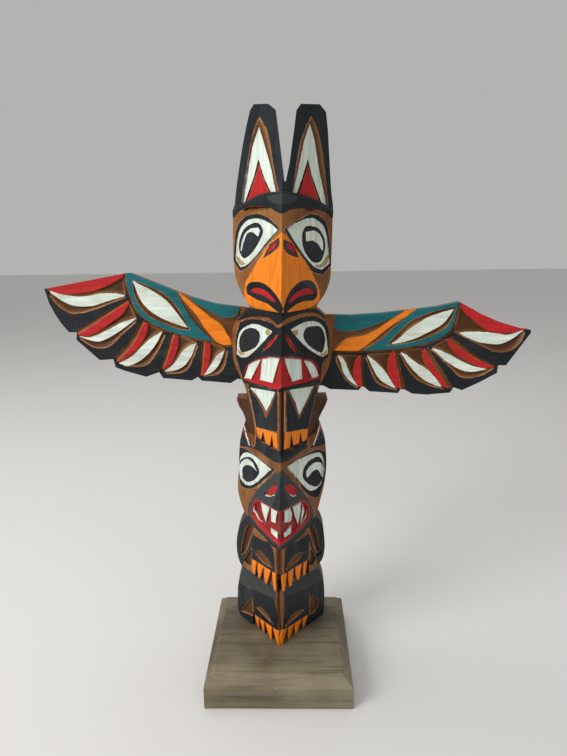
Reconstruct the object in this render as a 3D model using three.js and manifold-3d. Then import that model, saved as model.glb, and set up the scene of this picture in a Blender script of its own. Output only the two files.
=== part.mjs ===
// A small painted totem pole: one carved stick with a corner to the front, two carved wings set in
// slots in its flanks, and a square base board. Millimetres, +Z up, the front faces -Y, and the
// origin is the middle of the base's underside.
import * as THREE from 'three';
import Module from 'manifold-3d';
import { mergeVertices } from 'three/addons/utils/BufferGeometryUtils.js';
import { ConvexGeometry } from 'three/addons/geometries/ConvexGeometry.js';

const wasm = await Module();
wasm.setup();

// Base board
const BASE_SIDE = 89;
const BASE_THICK = 19;
const BEVEL_WIDE = 5.7;
const BEVEL_HIGH = 5.1;

// Stick
const RIDGE = 14;       // the front corner's distance from the pole's axis
const SLOPE = 1.1;      // how far the front falls back for each millimetre to the side
const BACK = 30;        // the flat back's distance from the axis
const LEAN = THREE.MathUtils.degToRad(1.1);
const AXIS_X = 0.1;
const FINEST = 0.02;    // edges shorter than this are taken out of a finished piece
const GAP = 0.3;        // clearance between neighbouring pieces
const REACH = 26;       // how far back a carving cut may go
const FRONT = 45;       // in front of everything

// Wings
const WING_FRONT = 20;
const WING_THICK = 6.5;
const WING_HEIGHT = 190;                              // where their axis crosses the pole's
const WING_SKEW = THREE.MathUtils.degToRad(5.7);      // both turned the same way: left up, right down
const WING_ROOT = 24;                                 // the wing's end in its slot

// Depths of the carving
const CUT = { socket: 2.4, mouth: 2.6, jaws: 4, fine: 1.2, groove: 1.4, ear: 2 };
const PROUD = { eye: 1.3, tongue: 0.7, tooth: 1.5, brow: 1.6 };

// The stick's shape: height, half width on the left and right, and how far the front stands
// forward of the plain stick there.
const PROFILE = [
  [-4, 27.0, 27.4, -4.0],
  [0, 27.8, 28.1, -4.0],      // behind the toes
  [4, 29.8, 30.0, -4.0],
  [9.2, 29.8, 30.0, -4.0],
  [9.6, 29.8, 30.0, 0.0],     // feet
  [22, 29.7, 29.7, 0.0],
  [29, 27.6, 28.4, 0.0],      // knees
  [37, 26.6, 25.4, -4.0],     // lap, behind the hands' claws
  [49, 30.1, 29.4, -4.0],
  [49.4, 30.1, 29.4, -0.4],   // hands
  [58, 29.8, 29.0, -0.4],
  [66, 28.0, 28.0, -1.5],
  [73, 23.7, 23.2, -1.5],     // shoulders' notch
  [78, 22.6, 22.4, -1.0],
  [84, 26.0, 24.5, 0.0],
  [92, 28.9, 27.2, 0.0],      // bear's cheeks
  [106, 28.5, 29.0, 0.0],
  [120, 28.0, 28.5, 0.0],
  [127, 27.2, 28.0, 0.0],
  [138, 24.5, 24.3, 0.0],
  [141, 23.4, 23.5, -0.3],    // below the bear's ears
  [146, 25.5, 25.5, -0.5],
  [154.5, 29.0, 29.0, -0.5],
  [156.6, 28.6, 28.6, -0.5],  // the ears' tops
  [157, 21.6, 22.0, -0.5],
  [165, 23.0, 23.2, -0.5],
  [168, 25.0, 25.0, 0.0],
  [172, 28.0, 27.6, 0.0],
  [186, 31.6, 31.0, 0.0],     // middle figure's cheeks
  [199, 31.4, 30.6, 0.0],
  [206.5, 27.6, 28.0, 0.0],
  [212, 21.8, 21.8, -1.0],
  [213.5, 20.6, 20.6, -1.0],  // bird's neck
  [216, 22.0, 22.0, 0.0],
  [222, 25.5, 25.8, 0.0],
  [230, 28.5, 28.6, 0.0],
  [240, 29.9, 29.2, 0.0],     // bird's head
  [266, 29.9, 29.4, 0.0],
  [266.4, 29.9, 29.4, -2.0],
  [273, 29.0, 29.3, -2.0],
  [282, 27.9, 28.2, -2.0],    // ears
  [304, 24.4, 26.3, -2.0],
  [315, 22.3, 25.4, -2.0],
  [323, 19.8, 23.9, -2.0],
  [326, 17.0, 20.5, -2.0],
];
const FOOT_CUT = 12;          // more stick below, so that the base can cut it off level

const frontAt = (x, forward = 0) => SLOPE * Math.abs(x) - RIDGE - forward;

// ---- solids ----

function solidOf(geometry) {
  const bare = geometry.clone();
  bare.deleteAttribute('normal');
  bare.deleteAttribute('uv');
  const merged = mergeVertices(bare, 1e-4);
  return new wasm.Manifold(new wasm.Mesh({
    numProp: 3,
    vertProperties: new Float32Array(merged.attributes.position.array),
    triVerts: new Uint32Array(merged.index.array),
  }));
}

function geometryOf(solid) {
  const mesh = solid.getMesh();
  const geometry = new THREE.BufferGeometry();
  geometry.setAttribute('position', new THREE.BufferAttribute(mesh.vertProperties, 3));
  geometry.setIndex(new THREE.BufferAttribute(mesh.triVerts, 1));
  return geometry;
}

// A closed solid through rings of points, all with the same count, from the bottom up.
function loft(rings) {
  const count = rings[0].length;
  const index = [];
  for (let i = 0; i + 1 < rings.length; i += 1) {
    for (let j = 0; j < count; j += 1) {
      const a = i * count + j;
      const b = i * count + (j + 1) % count;
      index.push(a, b, b + count, a, b + count, a + count);
    }
  }
  const top = (rings.length - 1) * count;
  for (let j = 1; j + 1 < count; j += 1) {
    index.push(0, j + 1, j);
    index.push(top, top + j, top + j + 1);
  }
  const geometry = new THREE.BufferGeometry();
  geometry.setAttribute('position', new THREE.Float32BufferAttribute(rings.flat(2), 3));
  geometry.setIndex(index);
  return solidOf(geometry);
}

// The stick's section at one height, anticlockwise seen from above.
function section([z, left, right, forward]) {
  return [
    [-left, BACK, z],
    [-left, frontAt(left, forward), z],
    [0, frontAt(0, forward), z],
    [right, frontAt(right, forward), z],
    [right, BACK, z],
  ];
}

function hull(points) {
  return solidOf(new ConvexGeometry(points.map((p) => new THREE.Vector3(...p))));
}

// A closed outline in front view. Each run starts at a sharp corner and goes smoothly through its
// other points to the first point of the next run.
function outline(side, ...runs) {
  const at = ([x, z]) => new THREE.Vector2(side * x, z);
  const shape = new THREE.Shape();
  shape.moveTo(side * runs[0][0][0], runs[0][0][1]);
  runs.forEach((run, i) => {
    const next = runs[(i + 1) % runs.length][0];
    const stops = [...run.slice(1), next].map(at);
    if (stops.length > 1) {
      shape.splineThru(stops);
    } else {
      shape.lineTo(stops[0].x, stops[0].y);
    }
  });
  return shape;
}

const corners = (side, points) => outline(side, ...points.map((p) => [p]));

// The outline pushed through from the front to a depth behind the axis.
function prism(shape, back = REACH, front = -FRONT) {
  const geometry = new THREE.ExtrudeGeometry(shape, {
    depth: back - front, bevelEnabled: false, curveSegments: 2,
  });
  geometry.rotateX(Math.PI / 2);
  geometry.translate(0, back, 0);
  return solidOf(geometry);
}

// Carving takes the surface inside an outline down to a depth below the form that it belongs to,
// and fill builds it up to a depth, or above the form where the depth is negative.
const carve = (body, form, shape, depth) => (
  body.subtract(prism(shape).subtract(form.translate([0, depth, 0]))));
const fill = (body, form, shape, depth) => (
  body.add(prism(shape).intersect(form.translate([0, depth, 0]))));

const bothSides = (body, work) => [-1, 1].reduce((carved, side) => work(carved, side), body);

// Points given as distance to the side, y and height, on both sides.
const mirrored = (points) => points.flatMap(([x, y, z]) => [[-x, y, z], [x, y, z]]);

// ---- the pole ----

const stick = loft([[-FOOT_CUT, 27, 27.4, -4], ...PROFILE].map(section));

// The stick without its notches and steps, for what stands proud of it.
const plainStick = loft([[-FOOT_CUT, 32, 32, 0], [PROFILE.at(-1)[0], 32, 32, 0]].map(section));

function ears(body) {
  const gap = corners(1, [[1.4, 282.8], [-2.4, 309], [-3.8, 319], [-9, 325], [-9, 330],
    [11, 330], [11, 325], [7.1, 319.5], [5.9, 309.7]]);
  const split = body.subtract(prism(gap, BACK + 1));
  return bothSides(split, (carved, side) => {
    const lean = (points) => points.map(([x, z]) => [x + side * 0.045 * (z - 283), z]);
    const hollow = outline(side,
      lean([[14, 318], [17.6, 312], [21, 294.5], [23.6, 281]]),
      lean([[25, 267]]),
      lean([[1.5, 267], [4, 282], [6.1, 292], [9.6, 309]]));
    const tongue = outline(side, lean([[14.2, 294]]), lean([[22.5, 268]]), lean([[7, 268]]));
    return fill(carve(carved, stick, hollow, CUT.ear), stick, tongue, CUT.ear - PROUD.tongue);
  });
}

function birdBrow(body) {
  const brow = outline(1,
    [[-30.2, 270], [-20, 275], [-8, 278.3], [8, 278.2], [20, 275.3]],
    [[29.9, 270.5]],
    [[29.6, 266.5], [19, 270.8], [8, 270]],
    [[0.4, 266.3], [-8, 270.2], [-19, 272]],
    [[-30.2, 266.5]]);
  return fill(body, plainStick, brow, -PROUD.brow);
}

// Carves an eye socket and sets the eyeball in it, on one side.
function eye(body, side, socket, ball) {
  const sunk = carve(body, stick, outline(side, ...socket), CUT.socket);
  return fill(sunk, stick, outline(side, ...ball), CUT.socket - PROUD.eye);
}

function birdEyes(body) {
  const socket = [
    [[1.2, 258.8], [8.8, 264.9], [16, 267.7], [24.5, 264.6], [27.8, 252]],
    [[29.2, 239.6], [24.7, 234.2], [18.3, 237.8], [9.5, 247]]];
  const ball = [
    [[2.8, 258.6], [11, 264], [18.5, 265], [24.5, 260.5], [27, 251]],
    [[28.4, 240.6], [24.2, 236.9], [16, 242.4], [8, 251]]];
  return bothSides(body, (carved, side) => eye(carved, side, socket, ball));
}

function beak(body) {
  const bill = hull([
    [0.3, -13.4, 258], [0.9, -24, 220], [0.9, -20.5, 214],
    ...mirrored([[6.7, -7.4, 251.5], [15, 1.8, 240], [19, 6.2, 233.3], [21.8, 9.3, 229],
      [22.6, 10.4, 224], [22, 9.8, 219], [12, -4, 213.2], [19, 5, 215.5]]),
  ]);
  const form = stick.add(bill);
  return bothSides(body.add(bill), (carved, side) => {
    const mouth = outline(side,
      [[1.6, 214.6], [2.6, 221.5], [7, 227.3], [13, 230.4], [19, 227.8], [20.8, 223]],
      [[20.2, 220.2], [14, 219.6], [8.3, 218.2]]);
    const tongue = outline(side,
      [[4, 217.8], [9.8, 224.4], [15, 225.9]],
      [[19, 222.6], [12, 222.4]]);
    const nostril = outline(side, [[1.6, 251.4], [4.5, 251.2]], [[9.2, 245.4], [5.2, 246.8]]);
    const opened = carve(carve(carved, form, mouth, CUT.mouth), form, nostril, CUT.fine);
    return fill(opened, form, tongue, CUT.mouth - PROUD.tongue);
  });
}

function middleFigure(body) {
  const brow = outline(1,
    [[-27.2, 206], [-24, 211]],
    [[-20.4, 213.4]],
    [[20.6, 213.4], [24, 211]],
    [[27.8, 206], [18, 211.6], [8, 210.2]],
    [[-1, 205.6], [-9, 209.4], [-19, 208.9]]);
  const nose = hull([[0.3, -13.5, 203], [0.3, -17.2, 190.5], [0.3, -14.5, 187.5],
    ...mirrored([[10.5, -2.7, 189.5], [10.5, -1, 195], [10.5, 8, 190]])]);
  const mouth = outline(1,
    [[-23.5, 174], [-18, 182], [-8, 187.2], [8, 186.9], [18.5, 182.4]],
    [[23.4, 174.5]],
    [[23.4, 170.2]],
    [[0, 168.8]],
    [[-23.5, 169.2]]);
  const socket = [
    [[4.6, 203.4], [12.8, 206.3], [20, 206], [26, 201.5], [28.8, 192]],
    [[28.6, 182.6], [24, 182.3], [15.5, 188.6], [8.4, 197]]];
  const ball = [
    [[5.6, 202.4], [12.8, 205], [21, 203.8], [26, 199], [28, 190]],
    [[28, 184], [24, 183.5], [16.4, 189.6], [8.6, 198]]];
  const browed = fill(body, plainStick, brow, -PROUD.brow).add(nose);
  return bothSides(carve(browed, stick, mouth, CUT.mouth), (carved, side) => {
    const slit = outline(side, [[2.4, 201]], [[4.8, 198.5]], [[11.4, 189.2]], [[9, 189.6]]);
    const incisor = corners(side, [[1, 188], [11.6, 184.6], [12.6, 172.2], [4.8, 173]]);
    const fang = corners(side, [[12.9, 183.6], [18.6, 180.8], [22.8, 171], [18, 171.4]]);
    const eyed = carve(eye(carved, side, socket, ball), stick, slit, CUT.fine);
    return [incisor, fang].reduce((cut, tooth) => (
      fill(cut, stick, tooth, CUT.mouth - PROUD.tooth)), eyed);
  });
}

function breast(body) {
  return bothSides(body, (carved, side) => {
    const ear = corners(side, [[21.4, 162], [31, 162], [31, 150], [20, 127], [17.2, 131.5], [17, 141]]);
    const triangle = outline(side, [[4, 167]], [[19.9, 165.2], [13.6, 159]], [[10, 148.4], [8.6, 156]]);
    const slots = [[5.2, 8.2], [10.8, 13]].map(([from, to]) => (
      corners(side, [[from, 132], [to, 132], [(from + to) / 2 + 0.3, 141]])));
    const faced = carve(carve(carved, stick, ear, CUT.socket), stick, triangle, CUT.groove);
    return slots.reduce((cut, slot) => carve(cut, stick, slot, CUT.socket), faced);
  });
}

function bearBrow(body) {
  const brow = outline(1,
    [[-26.4, 137], [-16, 137.5]],
    [[0.9, 133.4], [16, 138]],
    [[26.2, 138.4]],
    [[28.4, 130.6], [14.7, 127.6]],
    [[0.6, 123.4], [-14.4, 125.6]],
    [[-28, 127.4]]);
  return fill(body, plainStick, brow, -PROUD.brow);
}

function bearEyes(body) {
  return bothSides(body, (carved, side) => {
    const low = side > 0 ? -2.5 : 1;
    const socket = [
      [[3, 120], [13.5, 123.4], [22, 124.8], [28, 121.5], [28.8, 110]],
      [[26.6, 96 + low], [20.6, 96 + low], [14, 103 + low], [8.4, 111.8]]];
    const ball = [
      [[4.8, 118.6], [14.6, 121], [22.5, 121.6], [27, 117], [27.8, 106]],
      [[25, 98.5 + low], [20, 98.8 + low], [15, 104.2 + low], [9, 112.4]]];
    return eye(carved, side, socket, ball);
  });
}

function snout(body) {
  const muzzle = hull([
    [0.5, -13.8, 120], [0.5, -24.5, 99], [0.5, -23.6, 96], [0.5, -20, 74], [0.5, -17, 68.5],
    ...mirrored([[7.9, -6, 110.6], [13, -0.4, 103.8], [17.9, 5, 95.2], [20.8, 8.4, 86],
      [21, 8.6, 80], [18.6, 5, 75.5], [10.5, -5.5, 70.5]]),
  ]);
  const mouth = outline(1,
    [[0.5, 97.6], [8, 96.4]],
    [[15.4, 96], [18.2, 90], [18.6, 84]],
    [[16, 79.6], [8.6, 76.2]],
    [[0.6, 72.6]],
    [[-5, 74.2], [-11, 77.2]],
    [[-18.8, 82], [-18.4, 90]],
    [[-15.4, 96], [-8, 96.4]]);
  const form = stick.add(muzzle);
  const opened = carve(body.add(muzzle), form, mouth, CUT.jaws);
  return bothSides(opened, (carved, side) => {
    const nostril = outline(side, [[3, 111.4], [7, 109.4]], [[10.4, 103], [5.6, 105]]);
    const teeth = [
      [[1.6, 98], [5.8, 97.6], [6.2, 88], [2.4, 88]],
      [[7, 98], [13, 98], [11, 83], [9, 88.6]],
      [[13.8, 96.4], [16.6, 93], [12, 80.6]],
      [[1.6, 82], [6.4, 84], [6.4, 78], [1.8, 77.6]],
    ];
    return teeth.reduce((cut, tooth) => (
      fill(cut, form, corners(side, tooth), CUT.jaws - PROUD.tooth)),
    carve(carved, form, nostril, CUT.fine));
  });
}

// Claws side by side on both sides of the ridge, each a tapered block cut to the stick's front.
function clawRow(body, { first, pitch, wide, top, tip }) {
  return bothSides(body, (carved, side) => {
    let joined = carved;
    for (let i = 0; i < 4; i += 1) {
      const x = first + i * pitch;
      const claw = corners(side, [[x, top], [x + wide, top], [x + 0.72 * wide, tip],
        [x + 0.3 * wide, tip]]);
      joined = fill(joined, plainStick, claw, 0);
    }
    return joined;
  });
}

function limbs(body) {
  const carved = bothSides(body, (cut, side) => {
    const arm = outline(side,
      [[18.4, 74], [23.4, 69], [25.6, 59.6]],
      [[26.6, 46.6], [22, 53], [19.8, 63]]);
    const palm = outline(side, [[15.6, 55], [12.6, 58], [8, 56]], [[4.8, 52.6], [10, 52.4]]);
    const sole = outline(side, [[15.6, 14.2], [11.8, 17.4], [8, 16.6]], [[4.8, 12.8], [10.4, 13.6]]);
    const shin = outline(side, [[19.2, 23.5]], [[26.6, 8]], [[27, 2]], [[18.4, 2]]);
    const places = [[arm, CUT.socket], [palm, CUT.fine], [sole, CUT.fine], [shin, CUT.groove]];
    return places.reduce((done, [shape, depth]) => carve(done, stick, shape, depth), cut);
  });
  const hands = clawRow(carved, { first: 0.7, pitch: 4.7, wide: 4.1, top: 50.2, tip: 37.6 });
  return clawRow(hands, { first: 0.6, pitch: 4.7, wide: 4.3, top: 10.4, tip: -1 });
}

// Points of the pole's own upright frame, turned to its lean and set on the base.
const poleFrame = new THREE.Matrix4()
  .makeTranslation(AXIS_X, 0, BASE_THICK)
  .multiply(new THREE.Matrix4().makeRotationY(LEAN));

function pole(wings) {
  const steps = [ears, birdBrow, birdEyes, beak, middleFigure, breast, bearBrow, bearEyes, snout, limbs];
  const carved = steps.reduce((body, step) => step(body), stick);
  const leaning = solidOf(geometryOf(carved).applyMatrix4(poleFrame));
  const floor = new THREE.BoxGeometry(BASE_SIDE, BASE_SIDE, BASE_THICK * 2);
  floor.translate(0, 0, GAP);
  const level = leaning.subtract(solidOf(floor));
  return wings.reduce((body, wing) => body.subtract(wing), level);
}

// ---- the wings ----

// The five feathers, from the tip inwards: the outer corner, the two ends of the clipped edge, the
// inner corner, and the upper end of the cut that parts the feather from the next one.
const LEFT_WING = {
  elbow: [97.5, 35.4],
  shoulder: [[59, 24.1], [43.4, 21.4]],
  armEdge: [[98.3, 26.7], [95, 17.8], [85.5, 7], [76, 2.9], [63.5, -0.4], [41, -2.8]],
  tip: [148.9, 21.3],
  feathers: [
    { lobe: [[146, 12.8], [138, 0.4], [133.6, -4.2], [128.8, -4.2]], root: [97, 18.6] },
    { lobe: [[128.6, -8], [114, -20.2], [111.4, -20.7], [105.2, -19]], root: [86.2, 6.6] },
    { lobe: [[103.4, -24.2], [97.7, -26], [84.3, -28.4], [76, -24.8]], root: [68.4, 1] },
    { lobe: [[73.2, -28.2], [55.4, -28.2], [51.4, -25.6]], root: [49.2, -3] },
    { lobe: [[48.6, -27.8], [30.4, -27.6], [26.5, -24.6]], root: [26.5, -5] },
  ],
  leaf: [[94.2, 30.8], [82, 27.4], [70.5, 21.2], [59, 4.8], [68, 4.8], [81, 9.2], [91.4, 18.8]],
  band: [[67.6, 26.2], [47, 14.6], [38.6, 9], [32, -0.6], [36.8, -3.2], [47, 4.6], [56, 14.2]],
};
const RIGHT_WING = {
  elbow: [105.4, 35.9],
  shoulder: [[59.4, 24.6], [40.8, 21.8]],
  armEdge: [[104.6, 25.2], [103.1, 18.9], [90.4, 9.1], [72.6, 3.7], [57.4, 1.1], [34, -1.4]],
  tip: [151.8, 22.4],
  feathers: [
    { lobe: [[151.2, 20.4], [140.2, -0.6], [135.6, -1]], root: [102.6, 15.8] },
    { lobe: [[135.2, -5.6], [115.8, -19], [110, -17.8]], root: [91, 5.6] },
    { lobe: [[108.2, -21.2], [94, -23.8], [84.4, -24], [79.6, -22]], root: [72.4, 2] },
    { lobe: [[75.8, -24.4], [57.4, -25], [53.4, -22.4]], root: [51, -1] },
    { lobe: [[50.6, -24.8], [32.4, -25.9], [28.2, -23.9]], root: [28.2, -4] },
  ],
  leaf: [[103, 31.6], [87.8, 26.6], [77.6, 20], [66.6, 6.4], [78, 8.6], [95.5, 17], [101.6, 25]],
  band: [[77, 27.8], [58.7, 15.6], [47, 9.4], [33, 0.4], [44, -0.4], [59.3, 11.3], [68, 19.4]],
};

function boardOutline(side, wing) {
  const edge = [[WING_ROOT, 20.7], ...wing.shoulder.slice().reverse(), wing.elbow, wing.tip];
  wing.feathers.forEach((feather) => edge.push(...feather.lobe));
  edge.push([WING_ROOT, wing.feathers[4].lobe.at(-1)[1]]);
  return corners(side, edge);
}

// A thin wedge of wood taken out from one point to another.
function notch(side, [ax, az], [bx, bz], wide) {
  const along = new THREE.Vector2(bx - ax, bz - az).normalize();
  const [nx, nz] = [-along.y * wide, along.x * wide];
  return corners(side, [[ax + nx, az + nz], [bx, bz], [ax - nx, az - nz]]);
}

function wingSolid(side, wing) {
  const cutDepth = (shape, depth) => prism(shape, WING_FRONT + depth, WING_FRONT - 1);
  const board = prism(boardOutline(side, wing), WING_FRONT + WING_THICK, WING_FRONT);
  const [leafTop, ...leafRest] = wing.leaf;
  const [bandTop, ...bandRest] = wing.band;
  const cuts = [
    outline(side, [leafTop, ...leafRest.slice(0, 2)], leafRest.slice(2)),
    outline(side, [bandTop, ...bandRest]),
  ];
  wing.feathers.forEach((feather) => {
    const outer = feather.lobe[0];
    const [rx, rz] = feather.root;
    const inner = feather.lobe.at(-1);
    const mouth = [outer[0] * 0.88 + inner[0] * 0.12, outer[1] * 0.88 + inner[1] * 0.12 + 1.5];
    const start = [rx * 0.92 + outer[0] * 0.08, rz * 0.92 + outer[1] * 0.08 - 1];
    const middle = [(mouth[0] * 0.4 + start[0] * 0.4 + inner[0] * 0.2),
      (mouth[1] * 0.4 + start[1] * 0.4 + inner[1] * 0.2)];
    cuts.push(outline(side, [mouth], [start, middle]));
    cuts.push(notch(side, inner, feather.root, 0.9));
  });
  wing.armEdge.slice(1).forEach((point, i) => {
    cuts.push(notch(side, wing.armEdge[i], point, 0.7));
  });
  return cuts.reduce((cut, shape) => cut.subtract(cutDepth(shape, CUT.groove)), board);
}

// The slot that the wing's root sits in, a gap wider than the wood all round.
function slotSolid(side, wing) {
  const low = wing.feathers[4].lobe.at(-1)[1];
  const slot = corners(side, [[WING_ROOT - GAP, 20.7 + GAP], [46, 22.6], [46, low - 4.4],
    [31, low - 4.2], [27, low - 1.2], [WING_ROOT - GAP, low - 1]]);
  return prism(slot, WING_FRONT + WING_THICK + GAP, WING_FRONT - GAP);
}

const wingOrigin = new THREE.Vector3(0, 0, WING_HEIGHT).applyMatrix4(poleFrame);
const wingFrame = new THREE.Matrix4()
  .makeTranslation(wingOrigin)
  .multiply(new THREE.Matrix4().makeRotationY(WING_SKEW));
const placed = (solid) => solidOf(geometryOf(solid).applyMatrix4(wingFrame));

// ---- the base ----

function base() {
  const flat = BASE_SIDE - 2 * BEVEL_WIDE;
  const ring = (side, z) => [[-1, -1], [1, -1], [1, 1], [-1, 1]].map(([x, y]) => (
    [x * side / 2, y * side / 2, z]));
  return loft([ring(BASE_SIDE, 0), ring(BASE_SIDE, BASE_THICK - BEVEL_HIGH), ring(flat, BASE_THICK)]);
}

// ---- the model ----

const WOODS = {
  pole: { color: 0x8a5530, roughness: 0.6 },
  wing: { color: 0x1d6a6c, roughness: 0.55 },
  base: { color: 0x6b604f, roughness: 0.8 },
};

function mesh(name, solid, wood) {
  const material = new THREE.MeshStandardMaterial({ ...WOODS[wood], metalness: 0 });
  const node = new THREE.Mesh(geometryOf(solid.simplify(FINEST)), material);
  node.name = name;
  return node;
}

const totem = new THREE.Group();
totem.add(mesh('base', base(), 'base'));
totem.add(mesh('pole', pole([slotSolid(-1, LEFT_WING), slotSolid(1, RIGHT_WING)].map(placed)), 'pole'));
totem.add(mesh('left_wing', placed(wingSolid(-1, LEFT_WING)), 'wing'));
totem.add(mesh('right_wing', placed(wingSolid(1, RIGHT_WING)), 'wing'));

export default totem;
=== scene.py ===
import math

import bpy
import numpy as np
from mathutils import Matrix, Vector
from mathutils.geometry import delaunay_2d_cdt


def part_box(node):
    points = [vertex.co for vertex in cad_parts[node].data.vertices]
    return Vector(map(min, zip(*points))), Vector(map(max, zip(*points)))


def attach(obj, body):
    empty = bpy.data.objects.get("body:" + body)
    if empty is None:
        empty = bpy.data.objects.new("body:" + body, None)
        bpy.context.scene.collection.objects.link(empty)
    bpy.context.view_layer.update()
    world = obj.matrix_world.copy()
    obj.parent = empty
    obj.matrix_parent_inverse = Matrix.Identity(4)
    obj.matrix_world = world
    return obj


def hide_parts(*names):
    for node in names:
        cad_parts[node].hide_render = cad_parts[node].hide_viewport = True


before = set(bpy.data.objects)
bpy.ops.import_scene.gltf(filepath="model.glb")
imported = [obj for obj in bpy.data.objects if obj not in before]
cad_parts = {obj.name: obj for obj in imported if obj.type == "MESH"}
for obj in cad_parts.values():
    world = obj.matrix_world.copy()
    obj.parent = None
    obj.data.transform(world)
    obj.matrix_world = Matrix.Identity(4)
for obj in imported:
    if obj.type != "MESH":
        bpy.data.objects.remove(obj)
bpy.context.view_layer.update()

mm = 0.001


# Scene: camera, floor and light

view = {
    "place": (0.0114, -0.3298, 0.2683),   # metres
    "pitch": 13.0,                        # degrees down
    "yaw": 1.19,                          # to the left
    "roll": -0.74,
    "lens": 27.05,                        # on a 36 mm sensor
}


def addCamera():
    data = bpy.data.cameras.new("camera")
    data.lens = view["lens"]
    data.sensor_width = 36
    data.clip_start = 0.01
    camera = bpy.data.objects.new("camera", data)
    bpy.context.collection.objects.link(camera)
    turn = (Matrix.Rotation(math.radians(view["yaw"]), 4, "Z")
            @ Matrix.Rotation(math.radians(90 - view["pitch"]), 4, "X")
            @ Matrix.Rotation(math.radians(view["roll"]), 4, "Z"))
    camera.matrix_world = Matrix.Translation(view["place"]) @ turn
    bpy.context.scene.camera = camera


light = {
    "key": {"place": (-0.9, -0.7, 0.75), "size": 0.6, "watts": 11, "colour": (1.0, 0.985, 0.96)},
    "fill": {"place": (0.7, -1.0, 0.3), "size": 0.9, "watts": 1.0, "colour": (1.0, 0.96, 0.9)},
    "top": {"place": (-0.2, 0.2, 1.2), "size": 0.8, "watts": 4, "colour": (1.0, 1.0, 1.0)},
    "room": (0.9, 0.9, 0.89),
    "roomStrength": 0.5,
    "floorColour": (0.74, 0.73, 0.71),
    "floorSize": 12.0,
}


def addLights():
    aim = Vector((0, 0, 0.18))
    for name in ("key", "fill", "top"):
        lamp = light[name]
        data = bpy.data.lights.new(name, "AREA")
        data.energy = lamp["watts"]
        data.size = lamp["size"]
        data.color = lamp["colour"]
        lampObject = bpy.data.objects.new(name, data)
        lampObject.location = lamp["place"]
        lampObject.rotation_euler = (aim - Vector(lamp["place"])).to_track_quat("-Z", "Y").to_euler()
        bpy.context.collection.objects.link(lampObject)
    world = bpy.data.worlds.new("room")
    bpy.context.scene.world = world
    world.use_nodes = True
    background = world.node_tree.nodes["Background"]
    background.inputs["Color"].default_value = (*light["room"], 1)
    background.inputs["Strength"].default_value = light["roomStrength"]
    bpy.context.scene.view_settings.view_transform = "Standard"


def addFloor():
    bpy.ops.object.select_all(action="DESELECT")
    bpy.ops.mesh.primitive_plane_add(size=light["floorSize"], location=(0, 0, 0))
    floor = bpy.context.object
    floor.name = "floor"
    material = bpy.data.materials.new("floor")
    material.use_nodes = True
    shader = material.node_tree.nodes["Principled BSDF"]
    shader.inputs["Base Color"].default_value = (*light["floorColour"], 1)
    shader.inputs["Roughness"].default_value = 0.75
    floor.data.materials.append(material)


addCamera()
addLights()
addFloor()
print("scene: camera, three lights and floor")


# Lines and shapes, in millimetres on a carved face: x to the right, z up

def evenly(points, spacing=0.7, closed=False):
    # the same line with extra points, so that none of its steps is longer than the spacing
    ends = np.vstack([points, points[:1]]) if closed else np.asarray(points, float)
    filled = []
    for a, b in zip(ends[:-1], ends[1:]):
        count = max(1, math.ceil(math.dist(a, b) / spacing))
        filled.append(a + (b - a) * (np.arange(count) / count)[:, None])
    if not closed:
        filled.append(ends[-1:])
    return np.vstack(filled)


curveStep = 0.8      # about how far apart a smooth curve's points are


def through(points, closed=False):
    # a smooth curve through the points
    knots = np.array(points, float)
    if closed:
        knots = np.vstack([knots[-1], knots, knots[0], knots[1]])
    else:
        knots = np.vstack([2 * knots[0] - knots[1], knots, 2 * knots[-1] - knots[-2]])
    steps = np.diff(knots, axis=0)
    gaps = np.sqrt(np.linalg.norm(steps, axis=1))[:, None]
    speeds = steps / gaps
    tangents = (speeds[1:] * gaps[:-1] + speeds[:-1] * gaps[1:]) / (gaps[:-1] + gaps[1:])
    curve = []
    for i in range(1, len(knots) - 2):
        gap = gaps[i]
        count = max(2, math.ceil(gap[0] ** 2 / curveStep))
        t = (np.arange(count) / count)[:, None]
        curve.append((2 * t**3 - 3 * t**2 + 1) * knots[i] + (t**3 - 2 * t**2 + t) * gap * tangents[i - 1]
                     + (3 * t**2 - 2 * t**3) * knots[i + 1] + (t**3 - t**2) * gap * tangents[i])
    if not closed:
        curve.append(knots[-2][None])
    return np.vstack(curve)


def outline(*runs):
    # a closed shape: smooth along each run of points, with a corner where two runs meet
    joined = np.vstack([through(run) if len(run) > 2 else np.array(run, float) for run in runs])
    shape = evenly(joined, closed=True)
    x, z = shape.T
    area = np.sum(x * np.roll(z, -1) - np.roll(x, -1) * z)
    return shape if area > 0 else shape[::-1]


def oval(*points):
    return outline(*[[tuple(p)] for p in through(points, closed=True)])


def line(*points):
    return evenly(through(points) if len(points) > 2 else np.array(points, float))


def offset(shape, distance, closed=True):
    # the line moved sideways: inwards on a closed shape
    if closed:
        along = np.roll(shape, -1, axis=0) - np.roll(shape, 1, axis=0)
    else:
        along = np.gradient(shape, axis=0)
    along /= np.maximum(np.linalg.norm(along, axis=1), 1e-6)[:, None]
    return shape + distance * np.stack([-along[:, 1], along[:, 0]], axis=1)


farAway = 9.0        # distances are only worked out this close to a line


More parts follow.
